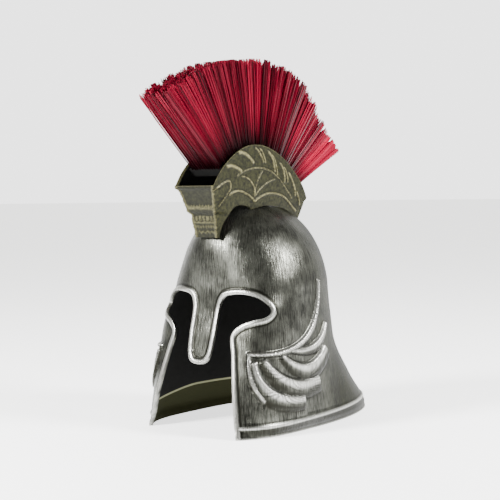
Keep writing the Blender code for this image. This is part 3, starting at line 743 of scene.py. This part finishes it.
# %% Build the shell
edge = even_line(opening_line(60), BEAD_STEP, shell_place)
loop = shell_loop(edge, PLAIN_STEP)
close = strip_spots(edge, BEAD_STEP)
close = close[(close[:, 0] > SEAM_CLEAR) & (climb_at(close[:, 1]) > FOOT_CLEAR)]
close = free_spots(close, loop, [], shell_place, 0.5 * BEAD_STEP)
wing = free_spots(wing_spots(WING_STEP), loop, [close], shell_place, 0.6 * WING_STEP)
plain = shell_spots(PLAIN_STEP)
plain = free_spots(plain, loop, [close, wing], shell_place, 0.6 * PLAIN_STEP)
flat, faces, rim = fill_loop(loop, np.vstack([close, wing, plain]))
print("outer half skin:", len(flat), "points,", len(faces), "triangles")

# %% Raise the wing, the bead and the band, and dent the plain parts a little
DENT = 0.00025
DENT_SIZE = 0.020


def on_borders(points, turn, climb):
    """Puts the points of the foot on the floor, and those of the seam on the middle."""
    middle = (np.abs(points[:, 0]) < 1e-6) | (np.sin(turn) < 1e-6)
    x = np.where(middle, 0.0, points[:, 0])
    return np.column_stack([x, points[:, 1], np.where(climb < 1e-6, 0.0, points[:, 2])])


edge_out, edge_worn, edge_hollow = edge_relief(flat, opening_line(60))
wing_out, wing_highlight, wing_shade = wing_relief(flat)
climbs = climb_at(flat[:, 1])
skin = round_point(flat[:, 0], climbs)
dents = np.array([noise.noise(Vector(point) / DENT_SIZE) - 0.5 for point in skin]) * DENT
plainness = slope(climbs, 0.0, BAND_REAR)
raised = np.maximum(edge_out, wing_out) + dents * plainness
skin = skin + raised[:, None] * round_normal(flat[:, 0], climbs)
skin = on_borders(skin, flat[:, 0], climbs)
# the pale mask holds real wear on the bead and band and the painted highlight on the feathers; the dark
# one holds wash in the grooves and painted shade under the feathers
wear_and_highlight = np.maximum(0.75 * edge_worn, wing_highlight)
wash_and_shade = np.maximum(edge_hollow, wing_shade) * (1 - 0.6 * edge_worn)

# %% Line it and close it
HEM_FRONT = 0.023
HEM_SIDE = 0.037
HEM_WIDTH = 0.0036
# where the painted shade at the back of the shell begins and where it is full
BACK_SHADE_FROM = math.radians(75)
BACK_SHADE_FULL = math.radians(130)


def hem_height(turn):
    """The height of the pale painted line inside the foot: low at the cheek's edge and higher at the
    side.
    """
    return HEM_FRONT + (HEM_SIDE - HEM_FRONT) * slope(turn, edge[-1, 0], math.pi / 2)


turns = np.linspace(edge[-1, 0], math.pi, 200)[1:-1]
rows = [hem_height(turns) + lift * HEM_WIDTH for lift in (-1.0, -0.5, -0.25, 0.0, 0.25, 0.5, 1.0)]
fold = np.vstack([np.column_stack([turns, level_of(row)]) for row in rows])
fold = free_spots(fold, loop, [], shell_place, BEAD_STEP)
spots = free_spots(shell_spots(LINING_STEP), loop, [fold], shell_place, 0.5 * LINING_STEP)
inner, inner_faces, inner_rim = fill_loop(loop, np.vstack([fold, spots]))
climbs = climb_at(inner[:, 1])
over = climbs - hem_height(inner[:, 0])
# a thin pale line painted as a highlight, with the olive band under it
hem_and_painted_glint = ridge(over, HEM_WIDTH)
olive_low_band = 1 - slope(over, -0.5 * HEM_WIDTH, 0.0)
lining = round_point(inner[:, 0], climbs)
lining = lining - SHELL_WALL * round_normal(inner[:, 0], climbs)
lining = on_borders(lining, inner[:, 0], climbs)
on_top = loop[:, 1] > LEVELS[-1] - 1e-7
crowned = [i for i in range(len(loop) - 1) if on_top[i] and on_top[i + 1]]
# painted shade towards the back, weaker over the pale raised work
back_shade = slope(flat[:, 0], BACK_SHADE_FROM, BACK_SHADE_FULL) * (1 - 0.6 * wear_and_highlight)
layers = {"wear_and_highlight": wear_and_highlight, "wash_and_shade": wash_and_shade, "back_shade": back_shade, "hem_and_painted_glint": hem_and_painted_glint, "olive_low_band": olive_low_band}
shell = two_halves(
    "shell_skin",
    (skin, faces, rim),
    (lining, inner_faces, inner_rim),
    layers,
    crowned,
    ((0.0, 0.0, HEIGHT), (0.0, 0.0, HEIGHT - SHELL_WALL)),
)
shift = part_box("helmet_shell")[1][1] - skin[:, 1].max()


def finish_skin(obj, outside, degrees):
    """Moves a skin along with the solids, paints it and leaves its inside black."""
    for corner in obj.data.vertices:
        corner.co.y += shift
    obj.data.materials.append(outside)
    obj.data.materials.append(black)
    smooth_faces(obj, degrees)


finish_skin(shell, silver, 50)
print("shell:", len(shell.data.polygons), "faces, moved", round(1000 * shift, 2), "mm")


# %% Store the way that the brush went
STRETCH = 14  # a brush mark is this many times longer than it is wide


def store_strokes(obj):
    """A direction that runs up the surface, so that streaks follow it."""
    mesh = obj.data
    points = np.empty(3 * len(mesh.vertices))
    mesh.vertices.foreach_get("co", points)
    points = points.reshape(-1, 3) - (0.0, shift, 0.0)
    radius = np.maximum(np.hypot(points[:, 0], points[:, 1]), 1e-6)
    stored = points * (WING_RADIUS / radius)[:, None]
    stored[:, 2] = climb_of(np.clip(points[:, 2], 0, HEIGHT)) / STRETCH
    layer = mesh.attributes.new("stroke_way", "FLOAT_VECTOR", "POINT")
    layer.data.foreach_set("vector", stored.ravel())


store_strokes(shell)
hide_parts("helmet_shell")
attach(shell, "root")

# %% [markdown]
# ## The crest holder
# The holder is an open box on the dome. Its front plate steps out like the top of a column, its
# sides follow the fan of the crest, and two arches on each side open it over the dome. Its
# carving is traced as lines on the flat side and raised from it.

# %% Named sizes of the holder
CREST_Y = -0.020
CREST_SINK = 0.0325
CREST_RADIUS = 0.102
HOLDER_WALL = 0.003
SEAT_GAP = 0.0003
PLATE_DROP = 0.045
PLATE_RISE = 0.0205
PLATE_HALF = 0.0328
PLATE_REACH = 0.112
REAR_DROP = 0.029
REAR_RISE = 0.004
REAR_DEPTH = 0.062
REAR_LEAN = 0.38
REAR_LIP = 0.0025
SIDE_HALF = 0.0335
SIDE_FLARE = 0.0127
SIDE_RISE = 0.0425
SIDE_BLEND = 0.018
ARCH_DROP = 0.005

# Heights that follow the top of the dome
CREST_Z = HEIGHT - CREST_SINK
PLATE_FOOT = HEIGHT - PLATE_DROP
PLATE_TOP = HEIGHT + PLATE_RISE
REAR_FOOT = HEIGHT - REAR_DROP
REAR_TOP = HEIGHT + REAR_RISE
SIDE_STRAIGHT = HEIGHT + SIDE_RISE

# Its front plate, moulded as a capital: share of its height, of PLATE_HALF, of PLATE_REACH
PLATE = (
    (0.00, 0.570, 0.801),
    (0.27, 0.620, 0.831),
    (0.44, 0.643, 0.848),
    (0.50, 0.743, 0.886),
    (0.75, 0.838, 0.930),
    (0.91, 0.920, 0.967),
    (0.95, 1.000, 1.000),
    (1.00, 1.000, 1.000),
)

# The top edge of its side walls: degrees from upright, share of CREST_RADIUS
WALL_TOP = (
    (-63, 1.038),
    (-39, 1.038),
    (-17, 1.045),
    (-1, 1.026),
    (12, 0.997),
    (27, 0.970),
    (43, 0.960),
    (61, 0.992),
    (71, 1.011),
)

# Its two arches over the dome: start, end and top as shares of the way from the front plate's
# foot to the rear one's, the top's share of ARCH_DROP under the dome's top, fullness
ARCHES = (
    (0.022, 0.347, 0.202, 0.9, 0.5),
    (0.428, 0.966, 0.565, 1.2, 1.0),
)


# %% The holder's surface, unfolded to depth and height
def dome_height(x, y):
    """The height of the dome's outer face over a point."""
    turn = np.arctan2(np.abs(x), -y)
    low = np.full(np.shape(x), DOME_START)
    high = np.full(np.shape(x), HEIGHT)
    for _ in range(30):
        middle = (low + high) / 2
        inside = shell_radius(turn, middle) > np.hypot(x, y)
        low = np.where(inside, middle, low)
        high = np.where(inside, high, middle)
    return low


def plate_share(z, index):
    """One column of the front plate's table at any height."""
    rows = np.array(PLATE)
    return np.interp((z - PLATE_FOOT) / (PLATE_TOP - PLATE_FOOT), rows[:, 0], rows[:, index])


def plate_width(z):
    return PLATE_HALF * plate_share(z, 1)


def plate_depth(z):
    return -PLATE_REACH * plate_share(z, 2)


def rear_depth(z):
    low = REAR_DEPTH + (np.minimum(z, REAR_TOP) - REAR_FOOT) * REAR_LEAN
    lip = np.clip((z - (REAR_TOP - 2 * REAR_LIP)) / (0.5 * REAR_LIP), 0, 1)
    return low + REAR_LIP * lip


def side_width(y, z):
    fall = np.clip((SIDE_STRAIGHT - z) / (SIDE_STRAIGHT - PLATE_FOOT), 0, 1.2)
    wall = SIDE_HALF - SIDE_FLARE * fall**2
    blend = slope(y - plate_depth(z), 0, SIDE_BLEND)
    return plate_width(z) + blend * (wall - plate_width(z))


def holder_point(flat, inset, relief):
    """A place on the holder's wall, set in from its outer face or raised out of it."""
    across, z = flat[:, 0], flat[:, 1]
    front, rear = plate_depth(z), rear_depth(z)
    front_half, rear_half = side_width(front, z), side_width(rear, z)
    ahead, behind = across < front, across > rear
    share = (np.clip(across, front, rear) - front) / (rear - front)
    y = front + inset + share * (rear - front - 2 * inset)
    x = side_width(front + share * (rear - front), z) - inset
    x = np.where(ahead, (front_half - inset) * (1 - (front - across) / front_half), x)
    x = np.where(behind, (rear_half - inset) * (1 - (across - rear) / rear_half), x)
    x = np.where(ahead | behind, x, x + relief)
    y = np.where(ahead, y - relief, np.where(behind, y + relief, y))
    x = np.where(np.abs(x) < 1e-5, 0.0, x)
    return np.column_stack([x, y, np.maximum(z, dome_height(x, y) + SEAT_GAP)])


def holder_face(flat):
    return holder_point(flat, 0.0, 0.0)


# %% The holder's border, with its two arches
def seated(across):
    """The heights of the holder's lower edge, on the dome or at the plate's foot before it."""
    z = np.full(len(across), HEIGHT)
    for _ in range(40):
        point = holder_point(np.column_stack([across, z]), 0.0, 0.0)
        z = np.maximum(dome_height(point[:, 0], point[:, 1]) + SEAT_GAP, PLATE_FOOT)
    return z


def crest_point(radius, turn):
    """A place in depth and height, by its distance and turn from the crest's middle."""
    turn = np.asarray(turn)
    return np.stack([CREST_Y + radius * np.sin(turn), CREST_Z + radius * np.cos(turn)], axis=-1)


def top_radius(turn):
    return CREST_RADIUS * column(WALL_TOP, 1, np.degrees(np.asarray(turn)))


def rear_edge(z):
    """How far the unfolded wall reaches at the rear: its depth and half the rear plate."""
    return rear_depth(z) + side_width(rear_depth(z), z)


def holder_loop(step):
    """The half holder's border: up the front, over the top, down the rear, back over the dome."""
    front_foot = float(seated(np.array([plate_depth(PLATE_FOOT) - plate_width(PLATE_FOOT)]))[0])
    heights = np.linspace(front_foot, PLATE_TOP, round(0.07 / step))
    upward = np.column_stack([plate_depth(heights) - plate_width(heights), heights])
    across_top = np.linspace(upward[-1, 0], plate_depth(PLATE_TOP), round(SIDE_HALF / step))
    lip = at_height(across_top, PLATE_TOP)
    front_turn = math.atan2(plate_depth(PLATE_TOP) - CREST_Y, PLATE_TOP - CREST_Z)
    rear_turn = math.atan2(rear_depth(REAR_TOP) - CREST_Y, REAR_TOP - CREST_Z)
    turns = np.linspace(front_turn, rear_turn, round(2 * CREST_RADIUS / step))
    over = crest_point(top_radius(turns), turns)
    over[0] = plate_depth(PLATE_TOP), PLATE_TOP
    over[-1] = rear_depth(REAR_TOP), REAR_TOP
    rear_half = float(side_width(rear_depth(REAR_TOP), REAR_TOP))
    across_rear = rear_depth(REAR_TOP) + np.linspace(0, rear_half, round(SIDE_HALF / step))
    rear_lip = at_height(across_rear, REAR_TOP)
    rear_foot = rear_edge(REAR_FOOT)
    foot_height = float(seated(np.array([rear_foot]))[0])
    heights = np.linspace(REAR_TOP, foot_height, round(0.035 / step))
    down = np.column_stack([rear_edge(heights), heights])
    reached = down[-1, 0]
    arches = []
    span = float(plate_depth(PLATE_FOOT)), float(rear_depth(REAR_FOOT))
    for *shares, drop, fullness in reversed(ARCHES):
        first, last, top_depth = (span[0] + share * (span[1] - span[0]) for share in shares)
        top = HEIGHT - ARCH_DROP * drop
        foot = np.linspace(reached, last, round((reached - last) / step) + 2)
        arches.append(np.column_stack([foot, seated(foot)])[1:])
        ends = seated(np.array([first, last]))
        share = np.sin(np.linspace(0, math.pi / 2, round(0.03 / step)))[1:-1]
        for start, end, level in ((last, top_depth, ends[1]), (first, top_depth, ends[0])):
            part = share if start == last else share[::-1]
            depth = start + (1 - np.cos(np.arcsin(part))) * (end - start)
            rise = (1 - ((depth - top_depth) / (start - top_depth)) ** 2) ** fullness
            arches.append(np.column_stack([depth, level + (top - level) * rise]))
        reached = first
    foot = np.linspace(reached, upward[0, 0], round((reached - upward[0, 0]) / step) + 2)
    arches.append(np.column_stack([foot, seated(foot)])[:-1])
    rim = np.vstack([upward[:-1], lip[:-1], over, rear_lip[1:-1], down, *arches])
    kept = np.ones(len(rim), bool)
    kept[1:] = np.linalg.norm(np.diff(rim, axis=0), axis=1) > step * 0.15
    return rim[kept]


# %% [markdown]
# ## Carving
# The side has a fan of thin rays, two arcs over the arches and a row of leaves along the top.
# Each is one line with a width and a height at both ends. The front plate has rows of small
# teeth, blocks, dots and scallops between plain steps, and a raised border at each side.

# %% Lines of the carving
LINES = (
    # width, height, then the line's places: degrees, share of CREST_RADIUS
    (0.0036, 0.0015, ((-56, 0.722), (-45, 0.641), (-35, 0.512), (-21, 0.347))),
    (0.0036, 0.0015, (
        (-18, 0.336), (5, 0.392), (32, 0.490), (50, 0.584), (67, 0.676), (76, 0.761),
    )),
    (0.0026, 0.0010, (
        (-36, 0.789), (-15, 0.755), (0, 0.738), (20, 0.712), (44, 0.686), (61, 0.718),
    )),
    (0.0026, 0.0013, ((-19, 0.405), (-16, 0.493), (-21, 0.623), (-31, 0.739))),
    (0.0024, 0.0012, ((-17, 0.444), (-16, 0.513), (-20, 0.603))),
    (0.0024, 0.0013, ((-16, 0.414), (-12, 0.521), (1, 0.695))),
    (0.0024, 0.0012, ((-15, 0.404), (5, 0.519), (24, 0.654))),
    (0.0026, 0.0013, (
        (-63, 0.990), (-59, 0.960), (-50, 0.880), (-47, 0.826), (-52, 0.760), (-70, 0.790),
    )),
)
LEAF_HEIGHT = 0.0016
LEAVES = (
    # degrees and share of the top's radius at the outer end, the same at the inner end, width
    (-41, 0.955, -30, 0.775, 0.0060),
    (-25, 0.975, -12, 0.795, 0.0060),
    (-7, 0.955, 2, 0.800, 0.0030),
    (-2, 0.950, 5, 0.805, 0.0030),
    (8, 0.945, 20, 0.760, 0.0040),
    (12, 0.930, 25, 0.745, 0.0030),
    (25, 0.900, 39, 0.760, 0.0040),
    (30, 0.900, 43, 0.800, 0.0030),
    (39, 0.900, 52, 0.850, 0.0040),
    (51, 0.860, 61, 0.800, 0.0030),
    (59, 0.850, 72, 0.840, 0.0030),
)


# %% Rows of small ornament on the front plate
TOOTH = 0.0050
BLOCK = 0.0064
DOT = 0.0045
SCALLOP = 0.0070
SCALLOP_RISE = 0.0048
DOT_RISE = 0.0138
LINE_RISE = 0.0192
BORDER = 0.0044


def repeat(across, width):
    """How far across its own cell each place is, from -0.5 to 0.5."""
    return (across / width) % 1 - 0.5


def plate_rows(across, z):
    """Teeth, blocks, dots and scallops across the plate, by distance from its middle."""
    half = plate_width(z)
    level = (z - PLATE_FOOT) / (PLATE_TOP - PLATE_FOOT)
    teeth = 0.043 * np.abs(repeat(across, TOOTH)) * 2
    toothed = slope(level, 0.53, 0.56) * (1 - slope(level - teeth, 0.58, 0.60))
    blocks = slope(np.abs(repeat(across, BLOCK)), 0.10, 0.22)
    blocked = slope(level, 0.32, 0.335) * (1 - slope(level, 0.41, 0.425)) * blocks
    tall = z - PLATE_FOOT
    line = ridge(tall - LINE_RISE, 0.0022)
    dots = ridge(np.hypot(repeat(across, DOT) * DOT, tall - DOT_RISE), 0.0042)
    curls = np.hypot(repeat(across, SCALLOP) * SCALLOP, tall - SCALLOP_RISE)
    curled = ridge(curls - 0.0030, 0.0018) * (tall > 0.0043)
    border = slope(across, half - BORDER, half - BORDER + 0.001)
    rows = np.maximum.reduce([toothed, 0.8 * blocked, line, 0.7 * dots, 0.8 * curled])
    return np.maximum(rows * (1 - border), border)


def holder_carving(flat):
    """The carving's height, wear and hollows at each place of the unfolded wall."""
    across, z = flat[:, 0], flat[:, 1]
    relief = np.zeros(len(flat))
    light = np.zeros(len(flat))
    near = np.full(len(flat), 1.0)
    strokes = []
    for width, height, rows in LINES:
        turns, shares = smooth_line(rows, 12).T
        strokes.append((width, height, crest_point(CREST_RADIUS * shares, np.radians(turns))))
    for start, outer, end, inner_end, width in LEAVES:
        share = np.linspace(0, 1, 40)
        turns = np.radians(start + (end - start) * share)
        radii = top_radius(turns) * (outer + (inner_end - outer) * share**1.5)
        strokes.append((width, LEAF_HEIGHT, crest_point(radii, turns)))
    for width, height, line in strokes:
        distance = np.linalg.norm(flat[:, None] - line[None], axis=2).min(axis=1)
        relief = np.maximum(relief, height * ridge(distance, width))
        light = np.maximum(light, 1 - slope(distance, 0.08 * width, 0.42 * width))
        near = np.minimum(near, distance - width / 2)
    wash_and_shade = 0.7 * (1 - slope(near, 0.0, 0.0022)) * (near > 0)
    ahead = across < plate_depth(z)
    middle = np.maximum(plate_width(z) - (plate_depth(z) - across), 0)
    rows = plate_rows(middle, z)
    relief = np.where(ahead, 0.0010 * rows, relief)
    light = np.where(ahead, 0.28 * rows, light)
    wash_and_shade = np.where(ahead, 0.6 * (1 - rows), wash_and_shade)
    return relief, light, wash_and_shade


# %% Build the holder
HOLDER_STEP = 0.0014
INSIDE_STEP = 0.0040

loop = holder_loop(HOLDER_STEP)
low, high = loop.min(axis=0), loop.max(axis=0)
grid = np.array([
    (y + (HOLDER_STEP / 2 if row % 2 else 0), z)
    for row, z in enumerate(np.arange(low[1], high[1], HOLDER_STEP * ROW_SHARE))
    for y in np.arange(low[0], high[0], HOLDER_STEP)
])
heights = np.arange(PLATE_FOOT, PLATE_TOP - 0.001, HOLDER_STEP)
corner = np.column_stack([plate_depth(heights), heights])
heights = np.arange(REAR_FOOT + 0.001, REAR_TOP - 0.001, HOLDER_STEP)
corner = np.vstack([corner, np.column_stack([rear_depth(heights), heights])])
corner = free_spots(corner, loop, [], holder_face, 0.5 * HOLDER_STEP)
grid = grid[within(grid, loop)]
spots = clear_of(grid, np.vstack([loop, corner]), holder_face, 0.55 * HOLDER_STEP)
flat, faces, rim = fill_loop(loop, np.vstack([corner, spots]))
relief, wear_and_highlight, wash_and_shade = holder_carving(flat)
skin = holder_point(flat, 0.0, relief)
spots = clear_of(grid[::5], np.vstack([loop, corner]), holder_face, 0.5 * INSIDE_STEP)
inner, inner_faces, inner_rim = fill_loop(loop, np.vstack([corner[::3], spots]))
lining = holder_point(inner, HOLDER_WALL, 0.0)
rim_set = np.zeros(len(flat))
rim_set[rim] = 1.0
# the upper edge gets the pale rub too: worn paint and a painted highlight along the lip
on_upper_edge = rim_set * (flat[:, 1] > PLATE_TOP - 0.0005)
# the pale mask holds the rubbed carving and the painted highlight on the upper edge
layers = {"wear_and_highlight": np.maximum(wear_and_highlight, 0.3 * on_upper_edge), "wash_and_shade": wash_and_shade}
holder = two_halves("holder_skin", (skin, faces, rim), (lining, inner_faces, inner_rim), layers)
finish_skin(holder, bronze, 45)
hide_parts("crest_holder")
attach(holder, "root")
print("holder:", len(holder.data.polygons), "faces")

# %% [markdown]
# ## The brush block
# The black block under the bristles is plain, so the solid's own block stays and only gets its
# finish.

# %% Paint the block
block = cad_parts["brush_block"]
block.data.materials.clear()
block.data.materials.append(black)

# %% [markdown]
# ## One bristle
# The crest holds thousands of bristles, and all have the same shape: a thin three-sided hair.
# One is modelled from a cone, cut twice across so that it can bend, and then read as
# numbers to be placed many times.

# %% Model one bristle
bpy.ops.object.select_all(action="DESELECT")
bpy.ops.mesh.primitive_cone_add(vertices=3, radius1=1.0, radius2=0.8, depth=1.0, location=(0, 0, 0.5))
pattern = bpy.context.object
bpy.ops.object.mode_set(mode="EDIT")
for cut in (0.34, 0.68):
    bpy.ops.mesh.select_all(action="SELECT")
    bpy.ops.mesh.bisect(plane_co=(0, 0, cut), plane_no=(0, 0, 1))
bpy.ops.mesh.select_all(action="SELECT")
bpy.ops.mesh.quads_convert_to_tris()
bpy.ops.object.mode_set(mode="OBJECT")
bpy.ops.object.transform_apply(location=True, rotation=True, scale=True)
pattern_points = np.array([tuple(v.co) for v in pattern.data.vertices])
pattern_faces = np.array([tuple(p.vertices) for p in pattern.data.polygons])
bpy.data.objects.remove(pattern, do_unlink=True)
print("one bristle:", len(pattern_faces), "triangles")

# %% [markdown]
# ## The fan of bristles
# The bristles stand on the block and spread from the crest's middle, closest at the edges.
# Stiff hairs cling together in small clumps, and the clumps end at uneven heights, so each
# bristle leans to the nearest of a few hundred clumps and takes part of its length from it.
# The bristles at the rear end are painted paler, a painted highlight for the light that falls on them
# there.

# %% Named sizes of the fan
BLOCK_DROP = 0.005
FAN_FRONT = math.radians(45)
FAN_REAR = math.radians(61)
BLOCK_SHORT = math.radians(2)
TIP_RADIUS = 0.220
PLUME_ROOT = 0.0245
PLUME_TIP = 0.0250
BRISTLES = 9000
CLUMPS = 420
BRISTLE_RADIUS = 0.00060
EDGE_CROWD = 0.35  # the bristles stand this much closer together at the edges of the fan
FAN_SHAPE = 6.5  # the fan is about this many times longer than it is wide
PULL = (0.1, 0.35)  # the least and the most of the way that a tip leans to its clump
CLUMP_RAGGED = 0.0030
RAGGED = 0.0026
SHORTER = 0.0022
LONG_HAIRS = 0.02
LONG_BY = 0.003
BOW = 0.0005
REAR_LIGHT_FROM = 0.84
REAR_LIGHT_FULL = 0.96

# The fan's outline: share of the way from front to rear, share of TIP_RADIUS
TIPS = (
    (0.00, 1.045),
    (0.09, 1.010),
    (0.18, 0.989),
    (0.27, 0.981),
    (0.36, 0.966),
    (0.45, 0.977),
    (0.55, 0.984),
    (0.64, 0.989),
    (0.73, 0.972),
    (0.82, 0.918),
    (0.91, 0.898),
    (1.00, 0.938),
)


# %% Where each bristle starts and ends
GOLDEN = 0.6180339887  # steps of this share never fall on each other
CHANCE = 0.004

rng = np.random.default_rng(11)


def even_spread(count, rng):
    """Pairs of shares from 0 to 1 that fill a square evenly, with a little chance."""
    step = np.arange(count)
    pairs = np.column_stack([(step + 0.5) / count, (step * GOLDEN) % 1])
    return np.clip(pairs + rng.normal(0, CHANCE, pairs.shape), 0, 1)


starts = even_spread(BRISTLES, rng)
starts = starts - EDGE_CROWD * np.sin(2 * math.pi * starts) / (2 * math.pi)
clumps = even_spread(CLUMPS, rng)
tree = KDTree(CLUMPS)
for i, (a, b) in enumerate(clumps):
    tree.insert((FAN_SHAPE * a, b, 0), i)
tree.balance()
nearest = np.array([tree.find((FAN_SHAPE * a, b, 0))[1] for a, b in starts])
ends = starts + (clumps[nearest] - starts) * rng.uniform(*PULL, (BRISTLES, 1))
clump_reach = rng.normal(0.0, CLUMP_RAGGED, CLUMPS)
ragged = clump_reach[nearest] + rng.normal(-SHORTER, RAGGED, BRISTLES)
ragged = np.where(rng.random(BRISTLES) < LONG_HAIRS, ragged + LONG_BY, ragged)
print("bristles:", BRISTLES, "in", CLUMPS, "clumps")

# %% Bend and place them
turn_tip = -FAN_FRONT + ends[:, 0] * (FAN_FRONT + FAN_REAR)
turn_root = (-FAN_FRONT + starts[:, 0] * (FAN_FRONT + FAN_REAR)) * (1 - BLOCK_SHORT / FAN_FRONT)
reach_root = top_radius(turn_root) - BLOCK_DROP - 0.001
reach_tip = TIP_RADIUS * np.interp(ends[:, 0], *np.array(TIPS).T) + np.minimum(ragged, 0.002)
x_root = (2 * starts[:, 1] - 1) * PLUME_ROOT
x_tip = (2 * ends[:, 1] - 1) * PLUME_TIP
roots = np.column_stack([x_root, crest_point(reach_root, turn_root)])
tips = np.column_stack([x_tip, crest_point(reach_tip, turn_tip)])
bow = rng.normal(0, BOW, (BRISTLES, 3))
ways = unit(tips - roots)
side = unit(np.cross(ways, (1.0, 0.0, 0.0)))
other = np.cross(ways, side)
spin = rng.uniform(0, 2 * math.pi, BRISTLES)
first_axis = np.cos(spin)[:, None] * side + np.sin(spin)[:, None] * other
second_axis = np.cross(ways, first_axis)
thickness = BRISTLE_RADIUS * rng.uniform(0.8, 1.15, BRISTLES)
chance = 0.11 * rng.normal(size=BRISTLES) + 0.06 * rng.normal(size=CLUMPS)[nearest]
# the rear bristles get a painted highlight on top of their own tones
tones_and_rear_light = np.clip(0.20 + chance, 0.02, 0.6) + 0.4 * slope(starts[:, 0], REAR_LIGHT_FROM, REAR_LIGHT_FULL)


def bristle_points(chosen):
    """The pattern's corners, placed along each chosen bristle."""
    along = pattern_points[:, 2][None, :, None]
    path = roots[chosen][:, None] + along * (tips - roots)[chosen][:, None]
    path = path + (4 * along * (1 - along)) * bow[chosen][:, None]
    thick = thickness[chosen][:, None, None] * (0.8 + 0.2 * along)
    across = pattern_points[:, 0][None, :, None] * first_axis[chosen][:, None]
    across = across + pattern_points[:, 1][None, :, None] * second_axis[chosen][:, None]
    return path + thick * across


# %% Join them into three pieces of the crest
def make_bristles(name, chosen):
    points = bristle_points(chosen)
    count, size = points.shape[:2]
    points[..., 1] = np.maximum(points[..., 1] + shift, solid_box[0][1])
    points[..., 2] = np.minimum(points[..., 2], solid_box[1][2])
    faces = pattern_faces[None] + size * np.arange(count)[:, None, None]
    mesh = bpy.data.meshes.new(name)
    mesh.from_pydata(points.reshape(-1, 3), [], faces.reshape(-1, 3).tolist())
    # shade holds each hair's own tone and the painted highlight at the rear
    shade = mesh.attributes.new("shade", "FLOAT", "POINT")
    shade.data.foreach_set("value", np.repeat(tones_and_rear_light[chosen], size))
    along = mesh.attributes.new("along", "FLOAT", "POINT")
    along.data.foreach_set("value", np.tile(pattern_points[:, 2], count))
    mesh.materials.append(crimson)
    obj = bpy.data.objects.new(name, mesh)
    bpy.context.scene.collection.objects.link(obj)
    smooth_faces(obj, 80)
    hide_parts("plume")
    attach(obj, "root")
    print(name, len(mesh.polygons), "triangles")


third = np.minimum((starts[:, 0] * 3).astype(int), 2)
for part, name in enumerate(("bristles_front", "bristles_middle", "bristles_rear")):
    make_bristles(name, np.flatnonzero(third == part))

# %% [markdown]
# ## Floor, light and camera
# The helmet stands on a plain pale floor that glows a little, as a light table does, so the
# shadows stay faint. A soft key light from the front gives the forehead its highlight, and a
# second one from the right gives the side of the dome its own. Metal shows what it reflects:
# the wall behind the helmet is pale and draws bright edges, and the rest of the room is dim,
# which keeps the silver dark between its highlights. The camera stands where the
# photographer stood.

# %% Floor
FIBRE = 0.025
FLOOR_GLOW = 2.0

bpy.ops.object.select_all(action="DESELECT")
bpy.ops.mesh.primitive_circle_add(vertices=128, radius=30.0, fill_type="NGON", location=(0, 0, -0.0005))
floor = bpy.context.object
floor.name = "floor"
paper, tree, inputs = new_finish("white_paper", 0.0, 0.8)
fibres = speckles(tree, object_place(tree), FIBRE, 2.0)
tree.links.new(blend(tree, fibres, "#f4f4f4", "#f8f8f8"), inputs["Base Color"])
inputs["Emission Color"].default_value = linear("#f9f9f9")
inputs["Emission Strength"].default_value = FLOOR_GLOW
floor.data.materials.append(paper)

# %% World and lights
BACK_WALL = (-0.65, 0.76, 0.0)  # the way to the wall behind the helmet
LIGHTS_AIM = (0, 0, 0.2)

world = bpy.data.worlds.new("pale_studio")
bpy.context.scene.world = world
world.use_nodes = True
tree = world.node_tree
backdrop = tree.nodes["Background"]
way = add_node(tree, "TexCoord", {}).outputs["Generated"]
ahead = add_node(tree, "VectorMath", {0: way, 1: BACK_WALL}, operation="DOT_PRODUCT")
near = ramp(tree, ahead.outputs["Value"], 0.35, 0.92, kind="SMOOTHSTEP")
tree.links.new(blend(tree, near, "#9a9a84", "#f9f9f9"), backdrop.inputs["Color"])
tree.links.new(mix(tree, near, 0.30, 3.2), backdrop.inputs["Strength"])


def soft_light(name, place, size, power):
    bpy.ops.object.light_add(type="AREA", location=place)
    light = bpy.context.object
    light.name = name
    light.data.shape = "DISK"
    light.data.size = size
    light.data.energy = power
    ahead = Vector(LIGHTS_AIM) - Vector(place)
    light.rotation_euler = ahead.to_track_quat("-Z", "Y").to_euler()


soft_light("key", (-0.6, -1.85, 1.15), 0.6, 170)
soft_light("side", (1.72, 0.6, 1.35), 0.6, 120)

# %% Camera at the photographer's place
AZIMUTH = math.radians(40.57)
PITCH = math.radians(2.94)
ROLL = math.radians(-0.57)
LENS = 84.2
SENSOR = 36.0
CAMERA_X = 1.0033
CAMERA_Y = -1.1775
CAMERA_Z = 0.3036

bpy.ops.object.camera_add()
camera = bpy.context.object
turned = Matrix.Rotation(AZIMUTH, 4, "Z") @ Matrix.Rotation(math.pi / 2 - PITCH, 4, "X")
turned = turned @ Matrix.Rotation(ROLL, 4, "Z")
camera.matrix_world = Matrix.Translation((CAMERA_X, CAMERA_Y + shift, CAMERA_Z)) @ turned
camera.data.lens = LENS
camera.data.sensor_width = SENSOR
bpy.context.scene.camera = camera
